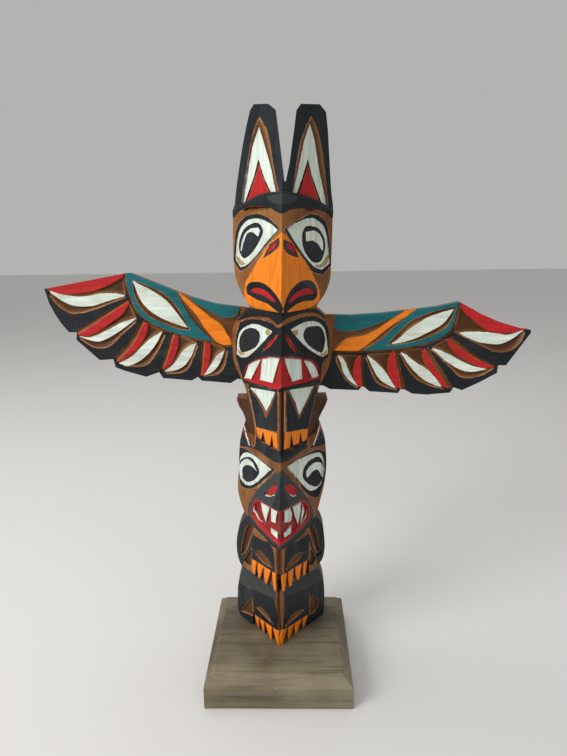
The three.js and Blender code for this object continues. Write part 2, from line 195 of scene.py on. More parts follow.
def distance(points, x, z, closed, stretch=1.0):
    # distance from every (x, z) to a line, positive inside a closed one and negative outside
    found = np.full(x.shape, farAway)
    low = points.min(axis=0) - (farAway / stretch, farAway)
    high = points.max(axis=0) + (farAway / stretch, farAway)
    near = (x > low[0]) & (x < high[0]) & (z > low[1]) & (z < high[1])
    px, pz = x[near] * stretch, z[near]
    best = np.full(px.shape, farAway**2)
    inside = np.zeros(px.shape, bool)
    ends = np.vstack([points, points[:1]]) if closed else points
    for (ax, az), (bx, bz) in zip(ends[:-1] * (stretch, 1), ends[1:] * (stretch, 1)):
        dx, dz = bx - ax, bz - az
        t = np.clip(((px - ax) * dx + (pz - az) * dz) / max(dx * dx + dz * dz, 1e-9), 0, 1)
        best = np.minimum(best, (px - ax - t * dx) ** 2 + (pz - az - t * dz) ** 2)
        if (az > bz) or (az < bz):
            crosses = (az > pz) != (bz > pz)
            inside ^= crosses & (px < ax + (pz - az) * dx / dz)
    best = np.sqrt(best)
    found[near] = best
    if not closed:
        return found
    signed = -found
    signed[near] = np.where(inside, best, -best)
    return signed


def wobble(x, z, size, seed):
    # smooth random unevenness between -1 and 1, with lumps about as wide as the size
    cells = 128
    table = np.random.default_rng(seed).uniform(-1, 1, (cells, cells))
    u, v = x / size + 50, z / size + 50
    i, j = np.floor(u).astype(int), np.floor(v).astype(int)
    s, t = u - i, v - j
    s, t = s * s * (3 - 2 * s), t * t * (3 - 2 * t)

    def corner(a, b):
        return table[(i + a) % cells, (j + b) % cells]
    return ((corner(0, 0) * (1 - s) + corner(1, 0) * s) * (1 - t)
            + (corner(0, 1) * (1 - s) + corner(1, 1) * s) * t)


def ramp(value):
    return np.clip(value, 0, 1)


class CarvedFace:
    # A face that is carved and painted in order. Heights are how far it stands towards the carver.

    def __init__(self, plain, stretch, colours):
        self.plain = plain
        self.stretch = stretch
        self.colours = colours
        self.lines = []
        self.cuts = []
        self.forms = []
        self.coats = []

    def far(self, shape, x, z, closed=True):
        return distance(shape, x, z, closed, self.stretch)

    def keep(self, *lines):
        # crease lines that the mesh follows
        self.lines.extend(lines)

    def keepShape(self, shape):
        self.keep(np.vstack([shape, shape[:1]]))

    def sink(self, shape, depth, bevel):
        # a flat sunk field with sloping edges
        self.keepShape(shape)
        self.keepShape(offset(shape, bevel))
        self.cuts.append(lambda x, z, h: h - depth * ramp(self.far(shape, x, z) / bevel))

    def bowl(self, rim, floor, depth):
        # sloping walls from a rim down to a flat floor of another shape
        self.keepShape(rim)
        self.keepShape(floor)

        def cut(x, z, h):
            outer, inner = self.far(rim, x, z), self.far(floor, x, z)
            share = outer / np.maximum(outer - inner, 1e-3)
            return h - depth * np.where(inner >= 0, 1.0, np.where(outer > 0, share, 0.0))
        self.cuts.append(cut)

    def channel(self, rim, island, depth):
        # a V all round an island that stays at its height
        self.keepShape(rim)
        self.keepShape(island)

        def cut(x, z, h):
            outer, inner = self.far(rim, x, z), -self.far(island, x, z)
            share = outer / np.maximum(outer + inner, 1e-3)
            return h - depth * np.where((outer > 0) & (inner > 0), 2 * np.minimum(share, 1 - share), 0.0)
        self.cuts.append(cut)

    def hollow(self, steepSide, gentleSide, depth, steep=2.6, gentle=0.75):
        # a hollow between two edges, deepest next to the first of them
        shape = evenly(np.vstack([steepSide, gentleSide[::-1]]), closed=True)
        self.keep(steepSide, gentleSide)
        for side in (1, -1):
            valley = offset(steepSide, side * depth / steep, False)
            inside = distance(shape, *valley.T, True, self.stretch)
            if np.mean(inside > 0) >= 0.5:
                break
        deep = valley[(inside > 0.3) & (self.far(gentleSide, *valley.T, False) > depth / steep)]
        if len(deep) > 3:
            self.keep(deep)

        def cut(x, z, h):
            inside = self.far(shape, x, z) > 0
            fall = np.minimum(steep * self.far(steepSide, x, z, False),
                              gentle * self.far(gentleSide, x, z, False))
            return h - np.where(inside, np.minimum(fall, depth), 0)
        self.cuts.append(cut)
        self.coat("stain", shape)

    def groove(self, path, width, depth):
        self.keep(path, offset(path, width / 2, False), offset(path, -width / 2, False))
        self.cuts.append(lambda x, z, h: h - depth * ramp(1 - self.far(path, x, z, False) * 2 / width))

    def lift(self, shape, height, bevel, wall=0.3, start=0.0):
        # wood left standing above the plain face, rounded up from its start, with a short wall outside
        self.keepShape(shape)
        self.keepShape(offset(shape, -wall))
        self.keepShape(offset(shape, bevel))

        def cut(x, z, h):
            inside = self.far(shape, x, z)
            edge = ramp(inside / bevel)
            top = self.plain(x, z) + start + (height - start) * (1 - (1 - edge) ** 2)
            return np.where(inside > -wall, h + np.maximum(top - h, 0) * ramp(inside / wall + 1), h)
        self.cuts.append(cut)

    def dome(self, shape, height, reach):
        # swells up from the shape's edge
        self.cuts.append(lambda x, z, h: h + height * (1 - (1 - ramp(self.far(shape, x, z) / reach)) ** 2))

    def coat(self, colour, shape, grow=0.0):
        self.coats.append((colour, lambda x, z: self.far(shape, x, z) + grow))

    def stroke(self, colour, path, width):
        self.coats.append((colour, lambda x, z: width / 2 - self.far(path, x, z, False)))

    def rub(self, shape, width):
        # paint worn off along a shape's edge
        self.stroke("pale", np.vstack([shape, shape[:1]]), width)

    def height(self, x, z, base):
        h = base
        for cut in self.cuts:
            h = cut(x, z, h)
        return h

    def depth(self, x, z, base, height):
        # how far the carving went below the rough form
        for form in self.forms:
            base = form(x, z, base)
        return base - height

    def paint(self, x, z):
        # for each colour, how far inside its paint a point lies; bare wood counts as one
        fields = {name: np.full(x.shape, -farAway) for name in ["stain", *self.colours, "pale"]}
        fields["stain"] += 2 * farAway
        unsteady = 0.1 * wobble(x, z, 0.9, 31) + 0.1 * wobble(x, z, 2.6, 32)
        for colour, reach in self.coats:
            covered = reach(x, z) + unsteady
            for name in fields:
                if name == colour:
                    fields[name] = np.maximum(fields[name], covered)
                else:
                    fields[name] = np.minimum(fields[name], -covered)
        return fields


meshing = {
    "shake": 0.12,         # how far loose points move, as a share of the pitch
    "cell": 0.6,           # how near a line they may lie, as a share of the pitch
    "weld": 1e-3,
    "backPitch": 2.5,
    "backMark": 2.0,       # a share greater than any ring's, for points on the back
    "smoothAngle": math.radians(38),
}


def triangulate(border, lines, pitchX, pitchZ, seed):
    # points and triangles that fill the border and follow the lines
    low, high = border.min(axis=0), border.max(axis=0)
    xs = np.arange(low[0], high[0], pitchX)
    zs = np.arange(low[1], high[1], pitchZ)
    x, z = np.meshgrid(xs, zs)
    x[1::2] += pitchX / 2
    most = meshing["shake"]
    shake = np.random.default_rng(seed).uniform(-most, most, (2, *x.shape))
    x, z = (x + shake[0] * pitchX).ravel(), (z + shake[1] * pitchZ).ravel()
    cell = meshing["cell"] * min(pitchX, pitchZ)
    drawn = [evenly(path, cell * 0.8) for path in [np.vstack([border, border[:1]]), *lines]]
    taken = set(map(tuple, np.floor(np.vstack(drawn) / cell).astype(int).tolist()))
    free = [cellId not in taken for cellId in
            zip(np.floor(x / cell).astype(int).tolist(), np.floor(z / cell).astype(int).tolist())]
    loose = np.stack([x, z], axis=1)[np.array(free)]
    points, edges = [border], []
    start = len(border)
    for path in lines:
        points.append(path)
        edges += [(start + i, start + i + 1) for i in range(len(path) - 1)]
        start += len(path)
    points.append(loose)
    vectors = [Vector(p) for p in np.vstack(points).tolist()]
    result = delaunay_2d_cdt(vectors, edges, [list(range(len(border)))], 1, meshing["weld"])
    flat = np.array([tuple(v) for v in result[0]])
    middle = np.array([flat[list(f)].mean(axis=0) for f in result[2]])
    within = distance(border, middle[:, 0], middle[:, 1], True) > 0
    kept = [face for face, inside in zip(result[2], within) if inside]
    used = sorted({i for face in kept for i in face})
    renumber = {old: new for new, old in enumerate(used)}
    return flat[used], [tuple(renumber[i] for i in face) for face in kept]


def boundaryLoops(faces):
    # the directed edges that only one face uses, joined into loops
    edges = {}
    for face in faces:
        for a, b in zip(face, face[1:] + face[:1]):
            edges[(a, b)] = True
    follow = {a: b for a, b in edges if (b, a) not in edges}
    loops = []
    while follow:
        start, here = next(iter(follow.items()))
        loop = [start]
        del follow[start]
        while here != start and here in follow:
            loop.append(here)
            here = follow.pop(here)
        loops.append(loop)
    return loops


def solidFromFace(name, carving, border, pitch, base, back, rings, place, seed):
    # a solid with a carved and painted front, plain sides and a flat back
    flat, faces = triangulate(border, carving.lines, *pitch, seed)
    x, z = flat.T
    height = carving.height(x, z, base(x, z))
    rows = [np.stack([x, -height, z], axis=1)]
    loop = max(boundaryLoops(faces), key=len)
    edge = rows[0][loop]
    count = len(loop)
    previous = loop
    total = len(x)
    painted = [np.zeros(total)]
    for share in rings:
        depth = edge[:, 1] + (back - edge[:, 1]) * share
        rows.append(np.stack([edge[:, 0], depth, edge[:, 2]], axis=1))
        painted.append(np.full(count, share))
        ring = list(range(total, total + count))
        faces += [(previous[(i + 1) % count], previous[i], ring[i],
                   ring[(i + 1) % count])
                  for i in range(count)]
        previous, total = ring, total + count
    cap, capFaces = triangulate(edge[:, [0, 2]], [], meshing["backPitch"], meshing["backPitch"], seed)
    onEdge = {tuple(np.round(p, 3)): previous[i] for i, p in enumerate(edge[:, [0, 2]])}
    capIndex = []
    for p in cap:
        key = tuple(np.round(p, 3))
        if key not in onEdge:
            onEdge[key] = total
            rows.append(np.array([[p[0], back, p[1]]]))
            painted.append(np.array([meshing["backMark"]]))
            total += 1
        capIndex.append(onEdge[key])
    faces += [tuple(capIndex[i] for i in reversed(face)) for face in capFaces]
    points = np.vstack(rows)
    share = np.concatenate(painted)
    mesh = bpy.data.meshes.new(name)
    mesh.from_pydata(place(points).tolist(), [], faces)
    piece = bpy.data.objects.new(name, mesh)
    bpy.context.collection.objects.link(piece)
    x, z = points[:, 0], points[:, 2]
    fields = carving.paint(x, z)
    for colour in fields:
        fields[colour][share >= 1] = farAway if colour == "stain" else -farAway
    fields["hollow"] = np.where(share > 0, 0, carving.depth(x, z, base(x, z), -points[:, 1]))
    for name, field in fields.items():
        attribute = mesh.attributes.new(name, "FLOAT", "POINT")
        attribute.data.foreach_set("value", field.astype(np.float32))
    bpy.ops.object.select_all(action="DESELECT")
    bpy.context.view_layer.objects.active = piece
    piece.select_set(True)
    bpy.ops.object.shade_smooth_by_angle(angle=meshing["smoothAngle"])
    return piece


# Materials

paints = {
    "stain": (0.2, 0.072, 0.017),
    # dark stain in the grain, and the colour of the painted shade in the hollows
    "darkStainAndShade": (0.04, 0.012, 0.004),
    "stainPale": (0.42, 0.2, 0.06),
    "black": (0.005, 0.008, 0.011),
    # bluish streaks in the black: lighter slate in the paint, and a painted sheen
    "blackSlateAndSheen": (0.026, 0.04, 0.052),
    "slate": (0.014, 0.018, 0.023),
    # grey wash on the snout and nostril rims, and painted highlights on the brow top, lap and a mouth
    # corner
    "greyPaintAndHighlight": (0.035, 0.04, 0.037),
    "white": (0.68, 0.76, 0.69),
    "tan": (0.42, 0.29, 0.12),
    "red": (0.46, 0.013, 0.015),
    "orange": (0.82, 0.215, 0.008),
    "teal": (0.005, 0.125, 0.145),
    "pale": (0.45, 0.22, 0.1),
}


finish = {
    "grain": 90,                      # how fine each pattern is, per metre
    "fine": 700,
    "blotch": 55,
    "brush": 420,
    "paintEdge": 0.06,                # half the width of a paint's soft edge, in millimetres
    "wornEdge": 0.08,
    # bare wood in the hollows: darker stain gathered there, and painted shade
    "hollowStainAndShade": (0.3, 1.8, 0.0, 0.85),    # from one depth to another, from one share to another
    # paint in deep hollows: painted shade
    "paintShadeInHollows": (1.8, 3.8, 0.0, 0.6),
    "yellowed": (0.55, 0.52, 0.38, 1),
    "rough": (0.42, 0.62),
    "specular": 0.25,
    "bump": 0.5,
    "bumpDepth": 0.6 * mm,
}


class Nodes:
    # a short way to wire a shader

    def __init__(self, material):
        material.use_nodes = True
        self.tree = material.node_tree
        self.tree.nodes.clear()

    def add(self, kind, values=None, **settings):
        node = self.tree.nodes.new(kind)
        for name, value in settings.items():
            setattr(node, name, value)
        for key, value in (values or {}).items():
            if isinstance(value, bpy.types.NodeSocket):
                self.tree.links.new(value, node.inputs[key])
            else:
                node.inputs[key].default_value = value
        return node

    def math(self, operation, a, b=0.0):
        return self.add("ShaderNodeMath", {0: a, 1: b}, operation=operation).outputs[0]

    def mix(self, share, a, b):
        node = self.add("ShaderNodeMix", {0: share, 6: a, 7: b}, data_type="RGBA")
        return node.outputs[2]

    def range(self, value, low, high, toLow=0.0, toHigh=1.0):
        return self.add("ShaderNodeMapRange", {0: value, 1: low, 2: high, 3: toLow, 4: toHigh}).outputs[0]

    def noise(self, place, scale, detail=2.0, stretch=(1, 1, 1)):
        mapping = self.add("ShaderNodeMapping", {"Vector": place, "Scale": stretch})
        return self.add("ShaderNodeTexNoise", {"Vector": mapping.outputs[0], "Scale": scale,
                                               "Detail": detail}).outputs[0]


def colour4(name, factor=1.0):
    return (*[channel * factor for channel in paints[name]], 1)


def paintedWood(name, colours, grainStretch):
    # stained wood with hand-brushed paint on it; the paint's edges come from the piece's attributes
    material = bpy.data.materials.new(name)
    wire = Nodes(material)
    place = wire.add("ShaderNodeTexCoord").outputs["Object"]
    grain = wire.noise(place, finish["grain"], 5, grainStretch)
    fine = wire.noise(place, finish["fine"], 3, grainStretch)
    blotch = wire.noise(place, finish["blotch"], 3)
    brush = wire.noise(place, finish["brush"], 4, grainStretch)

    def field(attribute):
        return wire.add("ShaderNodeAttribute", attribute_name=attribute).outputs["Fac"]

    hollow = field("hollow")
    colour = wire.mix(wire.range(grain, 0.35, 0.68), colour4("stain", 0.72), colour4("stain", 1.3))
    colour = wire.mix(wire.range(blotch, 0.45, 0.75, 0.0, 0.5), colour, colour4("stainPale"))
    colour = wire.mix(wire.range(fine, 0.55, 0.75, 0.0, 0.45), colour, colour4("darkStainAndShade"))
    # bare wood darkens with the carving's depth: stain gathered in the hollows, and painted shade
    colour = wire.mix(wire.range(hollow, *finish["hollowStainAndShade"]), colour, colour4("darkStainAndShade"))
    most = field("stain")
    painted = 0.0
    for layer in colours:
        here = field(layer)
        edge = finish["paintEdge"]
        mask = wire.range(wire.math("SUBTRACT", here, most), -edge, edge)
        shade = wire.mix(wire.range(brush, 0.3, 0.7), colour4(layer, 0.78), colour4(layer, 1.16))
        if layer == "white":
            shade = wire.mix(wire.range(blotch, 0.5, 0.72, 0.0, 0.45), shade, finish["yellowed"])
        if layer in ("black", "greyPaintAndHighlight", "slate"):
            # bluish streaks: lighter slate in the paint, and a painted sheen
            shade = wire.mix(wire.range(grain, 0.45, 0.7, 0.0, 0.45), shade, colour4("blackSlateAndSheen"))
            shade = wire.mix(wire.range(fine, 0.6, 0.8, 0.0, 0.4), shade, colour4("stainPale", 0.3))
        # painted shade: paint darkens with the carving's depth, except the whites
        if layer not in ("white", "tan"):
            shade = wire.mix(wire.range(hollow, *finish["paintShadeInHollows"]), shade, colour4("darkStainAndShade", 0.5))
        colour = wire.mix(mask, colour, shade)
        most = wire.math("MAXIMUM", most, here)
        painted = wire.math("MAXIMUM", mask, painted)
    edge = finish["wornEdge"]
    rubbed = wire.math("MULTIPLY", wire.range(field("pale"), -edge, edge), wire.range(brush, 0.38, 0.6,
                                                                                      0.2, 0.9))
    colour = wire.mix(rubbed, colour, colour4("pale"))
    relief = wire.math("ADD", wire.math("MULTIPLY", grain, 0.5), wire.math("MULTIPLY", fine, 0.3))
    relief = wire.math("ADD", relief, wire.math("MULTIPLY", painted, 0.25))
    relief = wire.math("ADD", relief, wire.math("MULTIPLY", brush, 0.25))
    bump = wire.add("ShaderNodeBump", {"Height": relief, "Strength": finish["bump"],
                                       "Distance": finish["bumpDepth"]})
    shader = wire.add("ShaderNodeBsdfPrincipled", {"Base Color": colour, "Normal": bump.outputs[0],
                                                   "Roughness": wire.range(brush, 0.3, 0.7,
                                                                           *finish["rough"])})
    shader.inputs["Specular IOR Level"].default_value = finish["specular"]
    wire.add("ShaderNodeOutputMaterial", {"Surface": shader.outputs[0]})
    return material


def dress(piece, material, node):
    piece.data.materials.clear()
    piece.data.materials.append(material)
    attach(piece, "root")
    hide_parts(node)


# The pole

pole = {
    "ridge": 14.0,                  # the front corner's distance from the axis
    "slope": 1.1,                   # how far the front falls back for each millimetre to the side
    "back": 30.0,
    "lean": math.radians(1.1),      # towards +X
    "axisX": 0.1,
    "stretch": 1.3,
    "pitch": (0.52, 0.66),
    "paints": ["black", "greyPaintAndHighlight", "slate", "white", "tan", "red", "orange"],
    "rings": [0.05, 0.4, 0.8, 1.0],
    "toeTop": (9.2, 9.6),           # heights of the steps in the front
    "handClaws": (38.4, 49, 49.4),
    "clawReach": 18.4,              # how far to each side the claws' sunk ground goes
    "besideClaws": -0.4,
}
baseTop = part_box("base")[1][2] / mm


# Depths of the carving, heights of what stands proud, and the widths of their sloping edges
carve = {
    "ear": 2.0,
    "earGroove": 1.3,
    "birdBrow": (1.7, 2.2),
    "middleBrow": (1.5, 1.6),
    "bearBrow": (1.6, 2.0),
    "socket": 2.4,
    "eyeball": 1.2,
    "ballReach": 7,
    "pupilInset": 1.2,
    "beakMouth": 2.4,
    "tongue": (0.5, 2),
    "beakNostril": 1.0,
    "middleMouth": 2.6,
    "middleTooth": 1.5,
    "middleSocket": (1.4, 1.7),      # width of its slope, depth
    "middleBall": 1.0,
    "slit": (0.6, 1.0),
    "breastGroove": (4.6, 2.8),      # width, depth
    "triangle": 1.5,
    "clawSlot": (1.8, 0.4),
    "bearEar": 2.2,
    "bearNostril": (1.0, 1.3),
    "bearMouth": 3.4,
    "bearTooth": 1.9,
    "toothEdge": 0.35,
    "claw": (0.3, 1.5),
    "clawStart": -1.0,
    "armHollow": (1.4, 2.2),
    "wrist": (2.0, 0.6),
    "ovoid": (0.9, 1.1),
    "legHollow": (0.8, 1.6),
    "chestGroove": (6.4, 3.2),
    "shinGroove": (4.8, 2.6),
}
# Widths of the lines where the paint has worn off
worn = {
    "rim": 0.5,
    "beak": 0.45,
    "snout": 0.4,
    "bearEar": 0.4,
    "hollow": 0.35,
    "brow": 0.35,
    "tongue": 0.3,
    "claw": 0.25,
    "slit": 0.25,
    "chest": 0.6,
    "groove": 0.8,
    "nostril": 0.45,
}


def placePole(points):
    x, y, z = points.T
    lean = pole["lean"]
    across = pole["axisX"] + x * math.cos(lean) + z * math.sin(lean)
    up = np.maximum(baseTop - x * math.sin(lean) + z * math.cos(lean), baseTop + 0.05)
    return np.stack([across, y, up], axis=1) * mm


def plainStick(x, z):
    return pole["ridge"] - pole["slope"] * np.abs(x)


# How far the front stands forward of the plain stick, at heights up the pole
forward = [(0, -4), (9.2, -4), (9.6, 0), (26, 0), (38.4, -4), (49, -4), (49.4, -0.4), (58, -0.4),
    (66, -1.5), (73, -1.5), (78, -1), (84, 0), (138, 0), (141, -0.3), (146, -0.5), (165, -0.5), (168, 0),
    (206.5, 0), (212, -1), (213.5, -1), (216, 0), (269.5, 0), (274, -2), (327, -2)]


def stickFront(x, z):
    heights, steps = zip(*forward)
    knee = 33 - 0.2 * np.abs(x)
    lap = -4 + 4 * ramp((38 - z) / (38 - knee))
    steady = np.interp(z, heights, steps)
    step = np.where((z > 22) & (z < 38.4), lap, steady)
    clawTop, (clawLow, _, clawHigh) = pole["toeTop"][1], pole["handClaws"]
    besideClaws = (np.abs(x) > pole["clawReach"]) & ((z < clawTop) | ((z > clawLow) & (z < clawHigh)))
    step = np.where(besideClaws, pole["besideClaws"], step)
    return plainStick(x, z) + step + 0.16 * wobble(x, z, 5, 3) + 0.07 * wobble(x, z, 1.8, 4)


leftSide = [
    [(-28, 0), (-29.8, 4.3), (-29.8, 14), (-29.4, 22.6), (-27.9, 29.7), (-25.8, 37.4)],
    [(-26.3, 38.4), (-28.5, 42.2), (-30, 48.7), (-29.8, 58.5), (-27.5, 68), (-23, 77)],
    [(-23, 77.6), (-25.6, 83), (-27.4, 88), (-28.6, 94.3), (-28, 107), (-27.4, 120), (-26.6, 128.4)],
    [(-24.5, 137.5)],
    [(-22.6, 142.6)],
    [(-24.8, 147.4), (-27.4, 151), (-28.6, 154)],
    [(-28.8, 155.6)],
    [(-21.4, 156)],
    [(-21.4, 157), (-22.8, 164.5), (-25.6, 169.6)],
    [(-27.4, 172.6), (-30.4, 179), (-31.6, 186.3), (-31.8, 192.4), (-31.4, 199), (-27.1, 207),
        (-20.8, 213)],
    [(-19.4, 214.8), (-20.8, 216.8), (-24.7, 222.6), (-28.1, 230.2), (-29.6, 240), (-29.9, 254),
        (-29.7, 266)],
    [(-29.9, 270.2)],
    [(-28.7, 273.2), (-27.6, 281.7), (-23.7, 302.8), (-20.9, 314.6)],
    [(-18.5, 322.6)], [(-16.2, 325.2)], [(-8, 323.4)], [(-3.8, 319.4)],
]
rightSide = [
    [(28.2, 0), (30, 4.3), (30, 14), (29.6, 22.8), (28.3, 30), (25.2, 38.2)],
    [(24.9, 41.6), (27.7, 43.7), (29.3, 50.1), (28.8, 61), (27.1, 69.8), (22.7, 78.2)],
    [(22.4, 78.6), (24.2, 84), (26, 91), (27.4, 96), (29, 107.5), (28.8, 119), (27.9, 128.2)],
    [(24.2, 138.9)],
    [(23.2, 143.6)],
    [(25.4, 148), (27.4, 151.6), (28.9, 155.2)],
    [(28.2, 157.2)],
    [(21.9, 156.8)],
    [(22, 157.4), (23, 165), (25.6, 170)],
    [(27.4, 173), (29.9, 179), (31, 186.5), (31.3, 192.6), (30.6, 199.1), (27.8, 207), (21.4, 213)],
    [(20.3, 214.8), (21.3, 216.7), (25.5, 222.5), (28.4, 230.2), (28.9, 240.1), (29.1, 253), (29.2, 266)],
    [(29.4, 270.2)],
    [(29.3, 273.4), (28, 281.8), (26.5, 298), (25.1, 313.9)],
    [(23.7, 323.2)], [(20, 326.2)], [(9.5, 323.8)], [(7.1, 320)],
]
earGap = [(-2.4, 309), (-0.2, 292.5), (0.9, 283.6), (1.8, 283.4), (3.6, 292.5), (5.9, 309.7)]


def poleBorder():
    gap = [[point] for point in reversed(earGap)]
    return outline(*rightSide, *gap, *[list(reversed(run)) for run in reversed(leftSide)])


def ears(face):
    rims = [
        outline([(-13, 317.7)], [(-14.8, 315.5), (-17.8, 307), (-20.4, 294), (-23, 281), (-24.6, 270)],
            [(-0.8, 270)], [(-1.7, 278), (-3.4, 284.2), (-5.1, 292), (-7.4, 305), (-9.1, 311.3)]),
        outline([(15.1, 318.7)], [(12.6, 314), (9.7, 305.5), (7.7, 295), (5.7, 278), (5, 270)],
            [(26.6, 270)], [(26.1, 273.3), (23.1, 294.8), (19.8, 310), (17.3, 316)]),
    ]
    floors = [
        outline([(-13.3, 313.4)], [(-17.2, 304.2), (-21, 289), (-24, 274.5), (-24.4, 270)], [(-1.9, 270)],
            [(-3.4, 277.6), (-6.8, 292.3), (-10.2, 304)]),
        outline([(14.6, 315.3)], [(11.4, 305.8), (8.3, 290), (6, 278.4), (5.2, 270)], [(26.2, 270)],
            [(25.2, 274.4), (20.8, 290.7), (17.5, 307)]),
    ]
    notches = [
        outline([(-13.7, 297)], [(-16.7, 287.4), (-21.8, 275.5), (-23.6, 270)], [(-3, 270)], [(-6.2, 278),
            (-10.2, 286.1)]),
        outline([(13.7, 297)], [(10.6, 286.2), (7.9, 278.6), (6, 270)], [(24, 270)], [(21.7, 275.7),
            (16.2, 288.5)]),
    ]
    tongues = [
        outline([(-13.4, 294.2)], [(-15.6, 287.6), (-22, 272)], [(-5, 272)], [(-8.6, 281), (-11.2, 287)]),
        outline([(13.8, 293.4)], [(11.4, 285.5), (7, 272)], [(22, 272)], [(18.4, 281), (15.6, 288)]),
    ]
    face.coat("black", outline([(-32, 268), (-20, 273.6), (-8, 276), (8, 276), (20, 273.6), (32, 268)],
        [(32, 330)], [(-32, 330)]))
    for rim, floor, notch, tongue in zip(rims, floors, notches, tongues):
        face.bowl(rim, floor, carve["ear"])
        face.channel(notch, tongue, carve["earGroove"])
        face.coat("stain", rim)
        face.coat("white", floor)
        face.coat("stain", notch)
        face.coat("red", tongue)
        face.rub(rim, worn["rim"])
        face.rub(tongue, worn["tongue"])


def birdBrow(face):
    brow = outline([(-31, 270), (-20.5, 274.8), (-12.6, 277.7), (-5.6, 278.3), (1.5, 278.2), (9.6, 277.7),
        (20, 275.2), (31, 270)], [(31, 264.4)], [(24.3, 269.2), (16, 270.4), (9.7, 270), (4.7, 269),
        (1.5, 267.2)], [(-0.6, 266.6), (-3.4, 267.8), (-6.8, 270.1), (-11.4, 271.2), (-18.7, 271.6),
        (-25, 269.4)], [(-31, 264.2)])
    face.lift(brow, *carve["birdBrow"])
    face.coat("black", brow)
    # painted highlight: grey on the top of the brow, where it faces up
    face.coat("greyPaintAndHighlight", oval((-9, 275.8), (0, 277.2), (9, 275.8), (6, 272.4), (0, 271), (-5, 272.2)), -0.4)
    face.stroke("pale", line((-30.5, 264.8), (-25, 269.3), (-18.7, 271.5), (-11.4, 271.1)), worn["brow"])


def eye(face, rim, ball, ring, crescent, pupil="slate"):
    face.bowl(rim, ball, carve["socket"])
    face.dome(ball, carve["eyeball"], carve["ballReach"])
    face.coat("black", rim)
    face.coat("white", ball)
    face.coat("black", ring)
    face.coat(pupil, ring, -carve["pupilInset"])
    face.coat("white", crescent)
    face.rub(rim, worn["rim"])


def birdEyes(face):
    eye(face,
        outline([(-1.1, 258.8), (-7.9, 265.1), (-14.8, 267.5), (-21.9, 266.1), (-26.5, 261.8),
            (-28.8, 252), (-29.8, 240.8)], [(-25.5, 234.7), (-20.9, 237.2), (-10.9, 247.6)]),
        outline([(-2.5, 258.3), (-6.2, 261.6), (-10.8, 263.9), (-16.3, 265), (-21.3, 263.8),
            (-25.2, 259.5), (-27.6, 252), (-28.6, 241.6)], [(-25.4, 237.3), (-22.1, 238.3),
            (-17.6, 241.9), (-7.9, 253)]),
        oval((-18.1, 262.1), (-13.8, 262.4), (-11, 258.5), (-12.1, 254.2), (-18.9, 244.7), (-23, 242.6),
            (-26, 247), (-25.4, 254), (-22.6, 259.4)),
        outline([(-25, 245.7), (-24.6, 250.3), (-23.3, 254.3), (-21.3, 257.7), (-18.2, 259.5),
            (-13.8, 259.9)], [(-12.6, 258.1), (-13.9, 254.8)], [(-16.3, 257), (-18.2, 257.6),
            (-20.7, 256.6), (-22.6, 253.2), (-24, 248.6)]))
    eye(face,
        outline([(1.1, 258.8), (9.7, 264.5), (16.6, 267.9), (22.5, 266), (26.2, 261), (27.6, 250.7),
            (29.2, 239)], [(23.9, 233.3), (18, 235), (12.3, 241), (4.3, 252.6)]),
        outline([(2.7, 258.9), (5.9, 261.2), (11.4, 264.1), (17, 265.4), (22.6, 262.5), (25.2, 258.1),
            (26.9, 250.7), (28.2, 239.8)], [(23.2, 236.3), (19, 237.9), (13, 243.8), (7.7, 251)]),
        oval((13.2, 260.6), (17.3, 260.9), (20.9, 259.6), (24, 255.2), (25.1, 249), (21.9, 240.9),
            (17.8, 240.8), (12.8, 246.7), (11.3, 251.6), (11.4, 257.6)),
        outline([(13.2, 257.7), (18.5, 258.4), (21.6, 256.3), (23.5, 251.8), (23.6, 246.7)],
            [(22.3, 248.4), (20.5, 251.2), (17.4, 253.1)], [(13.3, 252.5)]))
    face.coat("tan", oval((-28, 243.4), (-26.8, 239.8), (-24.6, 238.4), (-22.2, 239.4), (-24.4, 241.2),
        (-26.8, 243.4)))
    face.coat("tan", oval((27.4, 245), (26.4, 239.8), (22, 237.6), (18.8, 238.6), (22.6, 239.6),
        (25.6, 243.6)))


beak = {
    "ridge": [(213.2, 18.0), (214.6, 20.5), (220, 24), (258, 13.6)],       # height, depth along the middle
    "side": [(213, 11), (215.5, 19), (219, 22), (224, 22.6), (229, 21.8), (233.3, 19), (240, 15),
             (251.5, 6.7), (258, 0.3)],                                      # height, half width
}


def tent(face, shape):
    # wood standing forward along a ridge, falling off to the stick at each side
    heights, depths = zip(*shape["ridge"])
    sideHeights, widths = zip(*shape["side"])
    rightEdge = [(w, z) for z, w in shape["side"]]
    leftEdge = [(-w, z) for z, w in reversed(shape["side"])]
    face.keepShape(outline(rightEdge, leftEdge))
    face.keep(line((0, heights[0]), (0, heights[-1])))

    def cut(x, z, h):
        width = np.interp(z, sideHeights, widths)
        top = np.interp(z, heights, depths)
        edge = pole["ridge"] - pole["slope"] * width
        rise = top + (edge - top) * np.abs(x) / np.maximum(width, 0.1)
        within = (z >= heights[0]) & (z <= heights[-1]) & (np.abs(x) <= width)
        return np.where(within, np.maximum(h, rise), h)
    face.cuts.append(cut)
    face.forms.append(cut)


